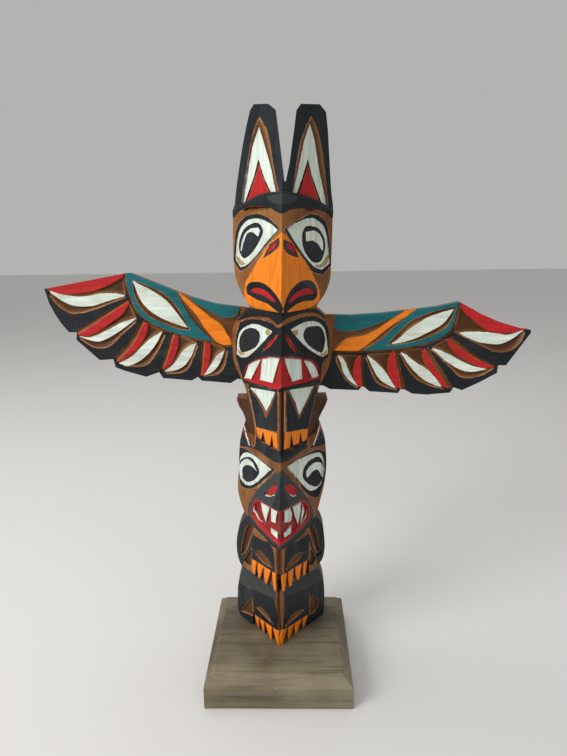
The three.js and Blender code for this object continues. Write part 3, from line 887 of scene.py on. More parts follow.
def birdBeak(face):
    tent(face, beak)
    bill = outline([(0, 257.4)], [(-6.7, 251.5), (-11.5, 245), (-15.2, 239.7), (-19, 233.3), (-21.8, 229),
        (-22.7, 224), (-22.1, 217.8)], [(-18.5, 214.8), (-12, 213.2)], [(0, 212.4)], [(12, 214),
        (18.5, 215.5)], [(22.2, 218.4), (22.3, 223), (20.6, 228), (17.6, 233.6), (14.3, 239.6),
        (10, 245.3), (5.6, 251.5)])
    mouths = [
        outline([(0.9, 216.8), (-0.4, 220.4), (-3, 223.9), (-6.5, 227.2), (-10.7, 229.3), (-15, 229.8),
            (-19, 228.8), (-21.7, 226)], [(-20.9, 222), (-14.4, 219.6), (-8, 218.2), (-3.2, 215.2)],
            [(0.5, 213)]),
        outline([(1.3, 216.8), (3.6, 223.9), (6.8, 227.9), (10.2, 230.2), (13, 231.1), (16.6, 230.3),
            (19.9, 226)], [(20.5, 221.2), (18.5, 219), (13.2, 219.2), (8, 217.8), (3.4, 214.6)],
            [(1.2, 212.9)]),
    ]
    tongues = [
        outline([(-19.6, 223.5), (-16.3, 225.9), (-12.5, 226.1), (-8.8, 225), (-5.8, 223), (-2.6, 219)],
            [(-6.4, 220.4), (-10.6, 222.2), (-15, 222.9)]),
        outline([(3.4, 219), (6.3, 223.1), (10.2, 225.4), (14.2, 226.3), (17.2, 225.1), (19.1, 222.4)],
            [(13.1, 222.9), (9.2, 221.6), (5.8, 219.6)]),
    ]
    rims = [outline([(-1.4, 254.5), (-1.4, 250.2), (-5.2, 246.2), (-11, 243)], [(-6.7, 250.9)]),
            outline([(0.8, 253.6), (0.9, 249), (3.9, 245.4), (9.6, 243.4)], [(5.4, 251.3)])]
    nostrils = [outline([(-2.7, 251.7), (-5, 248), (-8.7, 246.2)], [(-6.6, 249.4), (-4.6, 251.3)]),
                outline([(2.7, 251.2), (3.2, 248.8), (8.3, 246)], [(6.8, 249.4), (4.9, 251.3)])]
    face.coat("orange", bill)
    for mouth, tongue, rim, nostril in zip(mouths, tongues, rims, nostrils):
        face.bowl(mouth, tongue, carve["beakMouth"])
        face.dome(tongue, *carve["tongue"])
        face.bowl(rim, nostril, carve["beakNostril"])
        face.coat("greyPaintAndHighlight", rim)
        face.coat("red", nostril)
        face.coat("black", mouth)
        face.coat("red", tongue)
    # painted highlight at the right mouth's upper corner
    face.coat("greyPaintAndHighlight", outline([(13.6, 231), (17, 230.4), (20.2, 226), (20.7, 221.2)], [(18, 225.6),
        (14, 227.3), (11.2, 230.2)]))
    face.stroke("pale", line((-0.6, 256.6), (-6.7, 251.4), (-15.2, 239.6), (-21.7, 229), (-22.6, 223)),
                worn["beak"])
    face.stroke("pale", line((1, 256.6), (5.8, 251.4), (14.4, 239.4), (20.5, 228), (22.2, 221)),
        worn["beak"])


def hollowOut(face, shape, slope, depth):
    # a hollow with a flat floor, which its walls slope down to
    face.bowl(shape, offset(shape, slope), depth)


def middleFigure(face):
    brow = outline([(-28, 205), (-23.4, 211), (-20, 214)], [(20, 214), (23.6, 211), (28.4, 205)],
        [(22.6, 210.2), (17, 211.9), (11, 212), (6.4, 211), (1.9, 209.6)], [(-2.3, 206.3), (-6.7, 209.6),
        (-12.8, 209.8), (-19, 208.9)])
    mask = outline([(-2.5, 204.8), (-5.5, 207), (-11.6, 208), (-19.2, 207.5), (-25.8, 204.4),
        (-28.2, 197), (-28.9, 188), (-28.6, 181), (-26.2, 174.7), (-24, 167.4)], [(-12, 166.2),
        (-3, 167)], [(1.1, 168.2)], [(11, 167.4), (23, 166.4)], [(24.2, 171), (25.4, 180)], [(28.4, 183),
        (29, 193.6), (27, 203.4), (22.6, 208), (16.4, 209.9), (10.5, 209.5), (4.7, 207.9)])
    nose = {"ridge": [(187.4, 14.2), (189, 17), (203, 13.6)],
            "side": [(187.4, 9), (190, 10.5), (203, 0.3)]}
    mouth = outline([(-23.6, 173.5), (-22, 177.8), (-18, 181.9), (-12.9, 185.3), (-6.7, 187.5),
        (0.4, 188.6), (7.8, 187), (13.8, 184.9), (18.8, 182.5), (22, 178.7), (23.5, 174.6)],
        [(23.4, 170.6)], [(1.1, 170.4)], [(-3, 168.9), (-23.5, 168.9)])
    lip = outline([(-23, 173.5), (-17.6, 181), (-12.6, 184.3), (-6.5, 186.6), (0.5, 187.6), (7.6, 186.1),
        (13.6, 183.9), (18.4, 181.5), (22.9, 174.6)], [(22.8, 172.8)], [(1.1, 173.6)], [(-3, 171.9),
        (-22.8, 170.6)])
    teeth = [
        outline([(-20.3, 179.2), (-16, 182.4), (-12.2, 184)], [(-15.2, 177.6), (-18.6, 170.4)],
            [(-23.6, 169.8)]),
        outline([(-11.7, 184.4), (-6, 186.6), (-0.7, 187.4)], [(-2.4, 181.7), (-4.9, 171.6)],
            [(-13, 171.2)]),
        outline([(1.6, 187.3), (6, 186.4), (11.5, 184.6)], [(12.3, 172.6)], [(6.2, 172.2), (3.8, 179)]),
        outline([(12.7, 183.9), (17.5, 181.8), (20.9, 177.4)], [(22.8, 171.8), (18.2, 171.6)],
            [(15.4, 178.4)]),
    ]
    eyes = [
        (outline([(-5.2, 202.1), (-12.8, 204.3), (-17.2, 204.5), (-21.8, 202.3), (-25.9, 198.5),
            (-27.9, 192), (-28.4, 184)], [(-25.4, 182.4), (-21.3, 183.7), (-16.7, 188.1), (-10, 196)]),
         oval((-17.3, 202.1), (-13.6, 200.6), (-12.9, 197), (-15.4, 191.3), (-20.5, 187.6), (-25, 186),
             (-26.8, 190.3), (-25.6, 196.3), (-21.9, 200.8))),
        (outline([(5.4, 203.3), (12.9, 206.3), (17.7, 206.5), (22.1, 205), (25.5, 201), (27.4, 193.5),
            (28.4, 185)], [(25.1, 183.3), (21.2, 185.7), (15.5, 190.4), (9, 197.6)]),
         oval((14.2, 202.8), (19, 203.4), (22.7, 202.5), (25.4, 198.6), (26.3, 192), (24.4, 186.3),
             (21.4, 187.6), (15.6, 192.6), (12.5, 198.6))),
    ]
    slits = [outline([(-1.9, 201.2), (-5.5, 195), (-11.6, 189.1)], [(-10.3, 191.8), (-3.7, 200)]),
             outline([(2.6, 201.4), (6, 195.7), (8.9, 191)], [(7.8, 190), (5, 194), (2.9, 198.2)])]
    face.lift(brow, *carve["middleBrow"])
    tent(face, nose)
    face.coat("black", brow)
    face.coat("black", mask)
    face.stroke("pale", line((-5.5, 207), (-11.6, 208), (-19.2, 207.5), (-25.8, 204.4), (-28.2, 197)),
                worn["rim"])
    face.stroke("pale", line((-28.4, 180.4), (-26.2, 174.7), (-24, 168)), worn["rim"])
    face.stroke("pale", line((27, 203.4), (22.6, 208), (16.4, 209.9), (10.5, 209.5), (4.7, 207.9)),
                worn["rim"])
    face.stroke("pale", line((28, 182.6), (25.4, 180), (24.2, 171), (23.4, 167)), worn["rim"])
    face.bowl(mouth, lip, carve["middleMouth"])
    face.coat("red", mouth)
    for tooth in teeth:
        face.sink(tooth, -carve["middleTooth"], carve["toothEdge"])
        face.coat("white", tooth)
    slope, socket = carve["middleSocket"]
    for ball, pupil in eyes:
        face.bowl(offset(ball, -slope), ball, socket)
        face.dome(ball, carve["middleBall"], carve["ballReach"])
        face.coat("white", ball)
        side = math.copysign(1, ball[:, 0].mean())
        face.coat("tan", oval((side * 27.6, 187.4), (side * 27.2, 184.8), (side * 24.6, 184),
            (side * 22.6, 185.4), (side * 25.2, 185.8)))
        face.coat("tan", oval((side * 6.4, 201.6), (side * 8.8, 202.8), (side * 9.6, 200.4),
            (side * 8.2, 199.2)))
        face.coat("slate", pupil)
    for slit in slits:
        hollowOut(face, slit, *carve["slit"])
        face.coat("red", slit)
        face.rub(slit, worn["slit"])


def breast(face):
    panels = [
        outline([(-20.6, 168)], [(-20.2, 161.7), (-18.2, 154.7), (-16.4, 145.7), (-15.6, 141.2)],
            [(-8, 142), (-1.9, 143.2)], [(-1.9, 168)]),
        outline([(2.8, 168)], [(3.1, 142.6)], [(10, 141.6), (17, 140.6)], [(18.7, 149.8), (20.4, 157),
            (21.8, 162), (21.8, 168)]),
    ]
    triangles = [
        (outline([(-21.4, 165.2)], [(-15.6, 160), (-11.6, 154.4), (-9.4, 148.6)], [(-7.2, 154), (-5, 160),
            (-2.9, 167.3)]),
         outline([(-20, 164.8)], [(-14.2, 160.3), (-11.5, 156.8), (-9.1, 152.8)], [(-6.4, 159),
             (-3.6, 166.8)])),
        (outline([(3.2, 168.2)], [(7.4, 158), (11, 147)], [(14, 154), (20.9, 166.4)]),
         outline([(4.5, 167.8)], [(8.6, 158.4), (10.8, 150.2)], [(14, 156), (19.7, 166.3)])),
    ]
    claws = [
        outline([(-15.6, 141.1), (-8, 141.6), (-2.3, 142.3)], [(-2, 133)], [(-7, 133), (-12, 134.4),
            (-14.6, 137.4)]),
        outline([(2.4, 142.6), (9, 141.4), (16.4, 140)], [(15.3, 133.8), (8, 133), (2, 132.6)]),
    ]
    slots = [(-12.7, -9.1, -11.1, 140.2, 134), (-6.9, -4.1, -5.4, 141, 132.6),
             (5.2, 7.8, 6, 141.2, 132), (10.6, 12.9, 11.8, 140.8, 132.8)]
    for panel in panels:
        face.coat("black", panel)
        face.rub(panel, worn["rim"])
    face.groove(line((0.6, 169), (0.8, 131)), *carve["breastGroove"])
    face.stroke("pale", line((2.1, 167), (2.2, 143)), worn["groove"])
    for rim, floor in triangles:
        face.bowl(rim, floor, carve["triangle"])
        face.coat("stain", rim)
        face.coat("white", floor)
    for claw in claws:
        face.coat("orange", claw)
        face.rub(claw, worn["claw"])
    for left, right, tip, high, low in slots:
        slot = outline([(left, low - 1)], [(right, low - 1)], [(tip, high)])
        face.sink(slot, *carve["clawSlot"])
        face.coat("stain", slot)


def mirrored(side, *runs):
    # the runs of an outline for the right side of the face, or turned over for the left
    return [[(side * x, z) for x, z in run] for run in runs]


def bearEars(face):
    rim = [[(20.8, 163)], [(18.6, 153), (16.8, 144), (16, 139), (16.2, 130)], [(18, 127.6)],
           [(20.6, 132), (24, 140.5), (28.2, 152.5)], [(29.6, 157.5)], [(24, 163)]]
    floor = [[(21.6, 160)], [(19.6, 152), (17.6, 143), (17, 134)], [(18.6, 131)], [(23.4, 144), (27, 155)],
             [(26, 160)]]
    lines = [("black", 1.4, [(28.6, 152), (24.4, 141), (19.4, 128.6)]),
             ("white", 0.8, [(26.6, 147), (22.6, 135.6), (20, 127.8)]),
             ("red", 0.9, [(26.4, 143), (24.6, 138), (22.4, 132)])]
    for side in (-1, 1):
        hollow = outline(*mirrored(side, *rim))
        face.bowl(hollow, outline(*mirrored(side, *floor)), carve["bearEar"])
        face.coat("stain", hollow)
        for colour, width, points in lines:
            face.stroke(colour, line(*mirrored(side, points)[0]), width)
        face.rub(hollow, worn["bearEar"])


def bearBrow(face):
    temples = [outline([(-30, 150)], [(-24, 141), (-20.4, 131), (-17, 127)], [(-30, 124)]),
               outline([(30, 150)], [(24, 141), (20.4, 131), (17, 127)], [(30, 126)])]
    brow = outline([(-27, 138.5), (-20, 136.4), (-14, 134.6), (-7, 132.6)], [(0.6, 131.2)], [(8, 132.8),
        (16, 134.8), (27, 139.4)], [(29, 130.8)], [(25.7, 131.1), (19.7, 129.9), (14.7, 128),
        (8.5, 125.9), (3.7, 124.6)], [(-0.4, 124.6), (-3.5, 124), (-7.9, 124.6), (-14.4, 126.4),
        (-21.8, 127.3), (-27.4, 128)])
    face.lift(brow, *carve["bearBrow"])
    for shape in (*temples, brow):
        face.coat("black", shape)


def bearEyes(face):
    eye(face,
        outline([(-2.8, 119.2), (-9.8, 120.6), (-16.4, 122.9), (-22.5, 124.3), (-28.6, 123.4)],
            [(-28.6, 103)], [(-26.4, 97.2), (-22.8, 96.9), (-17.2, 100.1), (-10, 109)]),
        outline([(-5.9, 117.1), (-9.8, 118.6), (-18.4, 121.4), (-21.9, 121.2), (-24.7, 119.3),
            (-26.9, 115.6), (-27.9, 108), (-27.5, 100.6)], [(-23.5, 98.6), (-20, 99.7), (-15.8, 103.8),
            (-10, 111.6)]),
        oval((-26.6, 114), (-22.6, 118.2), (-18.4, 119), (-15.1, 116.2), (-13.7, 112.4), (-15.1, 108.2),
            (-18.5, 103.8), (-22, 101.4), (-25.4, 102.8), (-27, 108)),
        outline([(-27.2, 104.5), (-27, 110.1), (-24.8, 114.9), (-21.2, 117.5), (-17.8, 116.3)],
            [(-15.4, 112)], [(-17.1, 113.3), (-19.9, 113.7), (-22.7, 112.8), (-24.8, 110.4),
            (-25.6, 106.6), (-24.9, 103.5)]),
        pupil="black")
    eye(face,
        outline([(3.2, 121.1), (6.7, 121.5), (12.8, 123.5), (19.2, 124.9), (24.5, 124), (28.2, 120),
            (29, 110), (27.4, 99)], [(24.5, 91.1), (21.1, 92.1), (16, 97.6), (9.9, 109)]),
        outline([(3.8, 119.5), (8.6, 121.3), (14.8, 122), (20.6, 121.7), (24.6, 120.6), (27.2, 115),
            (27.8, 106), (25.7, 98.2)], [(22.4, 96.3), (19, 96.9), (15, 101.6), (8.6, 112.2)]),
        oval((24, 118.4), (19.3, 118.8), (15.5, 117.1), (13.5, 112.6), (14, 108), (19.6, 100.4),
            (23.7, 98.4), (26.6, 102), (27.4, 110)),
        outline([(16.3, 107.4), (15.8, 111.7), (18.1, 114.7), (22, 115.7), (25.4, 113.6), (27.4, 108.5)],
            [(27, 101.8)], [(24.8, 107.6), (22.8, 110.3), (20.1, 110.4), (17.5, 108.2)]),
        pupil="black")


snout = {
    "ridge": [(68.4, 16.6), (74, 20), (96.2, 23.6), (98.6, 24.5), (120.5, 13.8)],
    "side": [(68.4, 0.5), (70.5, 10.5), (75.5, 18.6), (80, 21), (86, 20.9), (95.2, 17.9), (103.8, 13),
        (110.6, 7.9), (120.5, 0.3)],
}


def bearSnout(face):
    tent(face, snout)
    muzzle = outline([(0.8, 120.6)], [(-2.8, 117.6), (-7.9, 110.6), (-13, 103.8), (-17.9, 95.2),
        (-20.7, 88.2), (-21.4, 80), (-19.4, 76)], [(-15.9, 72.2), (-10.5, 69.9), (-5.8, 67.6)],
        [(-2, 66.6), (2.3, 66.6)], [(7.9, 67.7), (14.2, 70.2), (18.8, 73.8)], [(20.8, 78), (20.8, 82),
        (19.2, 88.4), (16.5, 95.5), (11.9, 103.2), (6.8, 111.2)])
    chin = outline([(-21.8, 79), (-15.9, 75.9), (-10, 74.5), (-4.6, 72.6)], [(0.5, 71.6)], [(5, 72.8),
        (14, 75.6), (21, 79.5)], [(21, 76.4)], [(18.8, 73.6), (14.2, 70), (7.9, 67.4), (2.3, 66.4)],
        [(-2, 66.4), (-5.8, 67), (-10.5, 69.6), (-15.9, 72)], [(-21.8, 75)])
    noseTip = outline([(0, 116.6), (-1.6, 108), (-3.2, 102.7), (-5.4, 97)], [(-3.1, 97), (1.7, 97.6)],
        [(5.8, 96.6)], [(5, 100), (2.4, 106), (0.6, 116)])
    nostrils = [
        (outline([(-2, 111.4), (-2.6, 107.8), (-5, 104.1), (-9.8, 100.2)], [(-7, 105.6), (-4, 110)]),
         line((-3.4, 105.2), (-5.4, 103.2), (-9.4, 100.4))),
        (outline([(2.7, 110.6), (5.1, 109.7), (8.7, 105.9), (10, 102.7)], [(9, 101), (4.5, 105.6),
            (2.7, 109)]),
         line((4.4, 105.2), (8.6, 101.2), (10, 102))),
    ]
    mouth = outline([(0.6, 97.8)], [(-5.6, 96), (-11.4, 94.8), (-16.3, 93)], [(-18.4, 86.4),
        (-18.8, 80.5)], [(-14.4, 77.4), (-9.7, 76), (-4.6, 74.8), (0.4, 74.5), (5, 75), (9, 76),
        (14.1, 77.2)], [(17.6, 80.2), (18.1, 84.6), (16.5, 90.6), (13.2, 95.2)], [(5.8, 96.2)])
    gums = outline([(0.6, 96.6)], [(-11, 93.4), (-14.8, 91)], [(-16.8, 85), (-16.6, 81.4)], [(-9, 78)],
        [(0.4, 76)], [(9, 78)], [(15.8, 81), (16.4, 85), (14.6, 90.6)], [(12, 93.6)])
    teeth = [
        outline([(-16.9, 89.4)], [(-16.4, 85.6), (-12.6, 81.2), (-9.3, 79.4)], [(-14.3, 80.8),
            (-18, 84.4)]),
        outline([(-12.6, 93.8)], [(-6.4, 94.4)], [(-7.8, 88.3), (-9, 81.6)], [(-11.8, 88.4)]),
        outline([(-5.8, 95)], [(-1.3, 96.6)], [(-2.3, 91), (-2.5, 87)], [(-5.8, 85.6)]),
        outline([(2.3, 96.2)], [(5.8, 94.8)], [(7.1, 89.4), (6.5, 85.2)], [(2.3, 87.6)]),
        outline([(7, 94.8)], [(12.6, 94)], [(12.2, 86.8), (10.9, 78.8)], [(8.8, 86.4)]),
        outline([(13.6, 92)], [(14.9, 85.6), (13.4, 80.6), (11.8, 77.4)], [(12.6, 83), (13, 88)]),
        outline([(16.8, 86)], [(16.3, 81.4), (13, 77.8)], [(15.2, 82)]),
        outline([(-5.9, 80.6)], [(-1.3, 80.8)], [(-1.3, 76.6)], [(-5.8, 77.4)]),
        outline([(1.9, 80.2)], [(6.6, 82.6)], [(6.6, 77)], [(2.4, 76.6)]),
    ]
    face.coat("greyPaintAndHighlight", muzzle)
    face.coat("black", chin)
    face.coat("black", noseTip)
    for nostril, rim in nostrils:
        hollowOut(face, nostril, *carve["bearNostril"])
        face.coat("red", nostril)
        face.stroke("white", rim, worn["nostril"])
    face.bowl(mouth, gums, carve["bearMouth"])
    face.coat("red", mouth, 0.5)
    for tooth in teeth:
        face.sink(tooth, -carve["bearTooth"], carve["toothEdge"])
        face.coat("white", tooth)
    face.stroke("pale", line((0.2, 120), (-7.9, 110.5), (-13, 103.7), (-17.9, 95.2), (-20.7, 88)),
                worn["snout"])
    face.stroke("pale", line((1.4, 120), (6.8, 111.2), (11.9, 103.2), (16.5, 95.4), (19.2, 88.4)),
                worn["snout"])


def taperedClaws(face, claws, top):
    # each claw's top from left to right, then its tip's two ends and height
    for xa, xb, tipA, tipB, tip in claws:
        left = [(tipA, tip), ((xa + tipA) / 2 - 0.1 * (xb - xa), (top(xa) + tip) / 2), (xa, top(xa) - 0.6)]
        claw = outline([(xa, top(xa))], [(xb, top(xb))], [(tipB, tip)], left)
        face.lift(claw, *carve["claw"], start=carve["clawStart"])
        face.coat("orange", claw)
        face.rub(claw, worn["claw"])


def arms(face):
    for side in (-pole["clawReach"], pole["clawReach"]):
        face.keep(line((side, 38.8), (side, 49)), line((side, 0.4), (side, 9)))
    blackParts = [
        outline([(-32, 38)], [(-32, 66)], [(-23, 78.4)], [(-17, 72.4)], [(-19.2, 57)], [(-25, 44)],
            [(-26.4, 38)]),
        outline([(32, 38)], [(32, 66)], [(23, 78.8)], [(17.6, 72.4)], [(19.6, 57)], [(24, 46)], [(25, 38)]),
        outline([(-19, 49)], [(-18.9, 63), (-17.4, 66.3), (-12, 66.3)],
            [(-7.8, 67.8), (-5.2, 65.6), (-3.8, 60), (-3.2, 48.6)]),
        outline([(18.4, 50)], [(18.4, 67.6), (12.3, 67)],
            [(7.3, 67.4), (3.6, 65.8), (3, 59.6), (2.3, 49.6)]),
    ]
    for shape in blackParts:
        face.coat("black", shape)
    recesses = [
        outline([(-19.9, 73.2), (-22.6, 69.6), (-25.2, 60.6), (-26.8, 50.7)], [(-26.2, 46.7),
            (-23.2, 51.6), (-21, 58.2), (-18.8, 66)], [(-17.2, 71.6)]),
        outline([(20, 73.7), (23, 67.1), (24.8, 58), (26.2, 47.6)], [(23, 53), (20.8, 60), (19, 66.6)],
            [(17.6, 71.4)]),
    ]
    wrists = [outline([(-19.2, 57)], [(-22, 51), (-25, 44.2)], [(-22.4, 42.4), (-19, 43)]),
              outline([(19.8, 57.4)], [(21.6, 52), (23.4, 46.6)], [(20.8, 43.4), (18.6, 44.6)])]
    ovoids = [
        outline([(-16.4, 54.8), (-15.8, 57.2), (-13.9, 58.4), (-11, 57.9), (-7.6, 55.8)], [(-4.7, 52)],
            [(-9.8, 51.3), (-13.9, 52.8)]),
        outline([(14.3, 57), (12.2, 58.7), (9.2, 58.2), (5.8, 56.2)], [(3.8, 51.9)],
            [(7.6, 52.6), (11.6, 53.8)]),
    ]
    for recess, wrist, ovoid in zip(recesses, wrists, ovoids):
        hollowOut(face, recess, *carve["armHollow"])
        face.sink(wrist, *carve["wrist"])
        hollowOut(face, ovoid, *carve["ovoid"])
        for hollow in (recess, wrist, ovoid):
            face.coat("stain", hollow)
            face.rub(hollow, worn["hollow"])
    face.groove(line((-0.6, 68), (0, 40)), *carve["chestGroove"])
    face.coat("stain", outline([(-3.5, 38)], [(-3.5, 68)], [(2.7, 68)], [(2.7, 38)]))
    taperedClaws(face, [
        (-18.9, -15.4, -18.3, -16.8, 37.2), (-15, -10.5, -14.3, -13.3, 37.6),
        (-10.5, -5.8, -9.9, -8.5, 37.2),
        (-5.2, -2.6, -3.8, -1.9, 36.6), (0.8, 4.3, 1.9, 3.2, 37), (4.9, 8.7, 5.6, 7.4, 38),
        (9.4, 13.9, 10.7, 12.4, 39.2), (14.6, 17.4, 14.7, 16.2, 39.6)],
        lambda x: 49.6 - 0.03 * abs(x) + (0.5 if x > 8 else 0))


def legs(face):
    # painted highlight: grey on the lap and knees, where they face up
    face.coat("greyPaintAndHighlight", outline([(-31, 39.4)], [(-19, 39.4)], [(0, 37)], [(19, 40)], [(31, 39.4)],
        [(31, 27)], [(18, 29), (2.6, 33)], [(-4, 30.6), (-14, 28), (-31, 24.6)]))
    shins = [
        outline([(-31, 25)], [(-20.5, 26.2), (-11.2, 29.4), (-3.8, 31.4)], [(-1.3, 20), (-1, 10.6)],
            [(-6.4, 10.2), (-17.7, 7.8)], [(-18.4, -2)], [(-31, -2)]),
        outline([(31, 28)], [(18, 29.6), (8.3, 32), (2.8, 33.4)], [(2.8, 22), (1.8, 10.2)], [(7.8, 8.8),
            (18.6, 7.8)], [(18.6, -2)], [(31, -2)]),
    ]
    triangles = [outline([(-18.9, 21.4)], [(-22.4, 14), (-27.6, 3.4)], [(-17.8, 6.8)]),
                 outline([(19.6, 25)], [(21.4, 20.6), (24.8, 16), (25.6, 11), (22.8, 7)], [(19.4, 7.4)])]
    ovoids = [
        outline([(-16.2, 15.4), (-13.6, 18), (-9.9, 17.8), (-6.5, 15.4)], [(-4, 12.4)], [(-10, 13.6)]),
        outline([(15.8, 14.2), (12.6, 16.8), (8.8, 17), (5.4, 14.6)], [(3.6, 11.6)], [(10, 13)]),
    ]
    for shin, triangle, ovoid in zip(shins, triangles, ovoids):
        face.coat("black", shin)
        hollowOut(face, triangle, *carve["legHollow"])
        hollowOut(face, ovoid, *carve["ovoid"])
        for hollow in (triangle, ovoid):
            face.coat("stain", hollow)
            face.rub(hollow, worn["hollow"])
    face.groove(line((-0.4, 41), (-0.6, 26), (0.4, 10)), *carve["shinGroove"])
    face.coat("stain", outline([(-1, 10)], [(-1.4, 22), (-2.4, 33), (-2.4, 38)], [(2.4, 38)], [(2.6, 24),
        (1.7, 10)]))
    taperedClaws(face, [
        (-17, -13.9, -14.8, -13.8, 0.4), (-13.5, -10.2, -10.9, -10, -0.2), (-9.9, -5, -6.2, -5, -0.6),
        (-4.6, -0.2, -1.2, 0.2, -1.2), (0.5, 4.8, 0.6, 2.2, -1.2), (5.2, 9.4, 5.4, 6.6, -0.6),
        (9.8, 14.6, 9.9, 11.2, -0.2), (15, 18.7, 15, 16, 0.6)],
        lambda x: 10.6 - 0.16 * abs(x))


def shoulders(face):
    # light edges of the chest, above the hands
    face.stroke("pale", line((-17.4, 71.4), (-11.8, 69.6), (-7.8, 68.6), (-4.6, 66)), worn["chest"])
    face.stroke("pale", line((17.8, 71.6), (12.3, 70), (7.3, 68), (4, 66.4)), worn["chest"])


def makePole():
    face = CarvedFace(plainStick, pole["stretch"], pole["paints"])
    ears(face)
    birdBrow(face)
    birdEyes(face)
    birdBeak(face)
    middleFigure(face)
    bearBrow(face)
    bearEars(face)
    breast(face)
    bearEyes(face)
    arms(face)
    legs(face)
    shoulders(face)
    bearSnout(face)
    for height in (*pole["toeTop"], *pole["handClaws"]):
        face.keep(line((-31, height), (31, height)))
    face.keep(line((0, 0.5), (0, 280)))
    piece = solidFromFace("carved_pole", face, poleBorder(), pole["pitch"], stickFront, pole["back"],
                          pole["rings"], placePole, 7)
    material = paintedWood("painted_pole", pole["paints"], (1, 1, 0.12))
    dress(piece, material, "pole")
    print("pole:", len(piece.data.polygons), "faces")
    return piece


makePole()


# The wings

wing = {
    "front": 20.0,
    "back": 26.5,
    "height": 190.0,                # up the pole
    "skew": math.radians(5.7),      # both turned the same way: left one up, right one down
    "pitch": (0.5, 0.5),
    "hollow": 1.7,
    "groove": 1.1,
    "leafGroove": 1.5,
    "armGroove": (1.8, 1.1),        # width of the groove under the arm, width of its bare wood
    "wornRed": 0.7,                 # widths of the lines where the paint has worn off
    "wornLow": 0.55,
    "wornFrame": 0.45,
    "wornLeaf": 0.35,
    "paints": ["black", "white", "red", "orange", "teal"],
    "rings": [0.08, 0.5, 1.0],
}


def placeWing(points):
    x, y, z = points.T
    skew, lean = wing["skew"], pole["lean"]
    across = pole["axisX"] + wing["height"] * math.sin(lean) + x * math.cos(skew) + z * math.sin(skew)
    up = baseTop + wing["height"] * math.cos(lean) - x * math.sin(skew) + z * math.cos(skew)
    return np.stack([across, y, up], axis=1) * mm


def boardFront(x, z):
    return -wing["front"] - 0.1 + 0.1 * wobble(x, z, 6, 11) + 0.04 * wobble(x, z, 2, 12)


# Each feather from the tip inwards. Its lines run from its outer end to its root: the edge of the
# feather above it, its red stripe's two edges, its white stripe's two edges, and the lower edge of
# the hollow under the white. Then come the two points where the hollow above the white meets the arm.
leftFeathers = [
    {"redTop": [(-150, 25), (-100.4, 38)],
     "redLow": [(-147.4, 21.8), (-142.2, 19.6), (-131.8, 19.8), (-119.6, 22.4), (-107.5, 28.3),
         (-100, 33.4)],
     "whiteTop": [(-147.2, 21), (-140.4, 19.2), (-126, 18.6), (-113.5, 21.6), (-106, 22.4),
         (-98.4, 21.8)],
     "whiteLow": [(-147.2, 21), (-142.4, 17.6), (-137, 14.6), (-130.5, 12.6), (-119.5, 13.4),
         (-110.3, 17), (-98.4, 21.6)],
     "hollowLow": [(-145.4, 17), (-141, 12.4), (-133, 8), (-125.6, 8.7), (-118.2, 11.4), (-99, 20.4)],
     "root": [(-98.6, 22), (-99.6, 33.4)]},
    {"above": [(-129, -2.8), (-119.6, 4.1), (-110.4, 10.5), (-97, 19.8)],
     "redTop": [(-127.8, -5), (-119.4, 0.8), (-107.1, 10.6), (-96.9, 18)],
     "redLow": [(-127.6, -5.6), (-122.4, -5.6), (-116.2, -2.6), (-107, 4.4), (-101, 9.6), (-96.2, 17.4)],
     "whiteTop": [(-126.8, -6.4), (-119.3, -6), (-110, -1.1), (-100.9, 4.7), (-91.4, 8.6)],
     "whiteLow": [(-126.8, -6.4), (-121, -8), (-115.5, -8.5), (-111.8, -7.3), (-105.6, -3.6),
         (-97.7, 2.8), (-91.4, 8.4)],
     "hollowLow": [(-126, -8), (-118, -12.2), (-113, -12.4), (-108, -10.7), (-100.7, -3.1), (-92, 6)],
     "root": [(-91.6, 8.6), (-95.4, 15.9)]},
    {"above": [(-105.6, -18.6), (-100.6, -12.6), (-93.4, -2.4), (-87.6, 8.2)],
     "redTop": [(-102.6, -20), (-98.5, -15.6), (-91.3, -4.8), (-86.7, 6.3)],
     "redLow": [(-102.2, -20.4), (-94.2, -14.5), (-88.1, -7), (-84.7, 0.8), (-84.6, 6.4)],
     "whiteTop": [(-101.6, -21.2), (-94.1, -16.4), (-85, -6.1), (-78.4, -0.5), (-75.2, 1.4)],
     "whiteLow": [(-101.6, -21.2), (-97.1, -22.5), (-90.9, -20), (-84.2, -14.3), (-78.2, -5.5),
         (-75.2, 1.2)],
     "hollowLow": [(-98.6, -22.9), (-87.7, -21.9), (-83.4, -19.9), (-78.6, -13.1), (-73.4, -1)],
     "root": [(-75.6, 1.8), (-84, 6.4)]},
    {"above": [(-76.2, -24.8), (-72.6, -12), (-69.9, 1)],
     "redTop": [(-73.6, -22), (-70.5, -12.4), (-67.6, 0.8)],
     "redLow": [(-73.4, -22.6), (-69, -18.6), (-65.6, -8.8), (-65.2, -2.4), (-66, 1.1)],
     "whiteTop": [(-73.4, -24.2), (-67.7, -19.2), (-61.8, -9.7), (-57.1, -5.5), (-53.6, -4)],
     "whiteLow": [(-73.4, -24.2), (-67.5, -23), (-61.4, -19.9), (-56.7, -13.1), (-53.6, -4.2)],
     "hollowLow": [(-71.6, -25.1), (-62.4, -23.8), (-58.2, -20.9), (-55.4, -14.2), (-52.6, -5.4)],
     "root": [(-53.8, -3.4), (-65.2, 0.8)]},
    {"above": [(-51.4, -25.8), (-50.6, -14), (-50.2, -2.4)],
     "redTop": [(-48.8, -24), (-48.5, -13.6), (-48, -2.8)],
     "redLow": [(-48.4, -24.6), (-46.2, -20.6), (-44.6, -10.1), (-45.4, -2.6)],
     "whiteTop": [(-47.6, -24), (-43.9, -17), (-39.9, -10.3), (-35.6, -6.8)],
     "whiteLow": [(-47.6, -24), (-43.2, -22), (-38.9, -16.6), (-35.6, -7)],
     "hollowLow": [(-47.3, -24.8), (-40.4, -23.1), (-36.8, -20.2), (-34.4, -13.6), (-34, -7)],
     "root": [(-35.6, -5.6), (-44.4, -2.8)]},
]
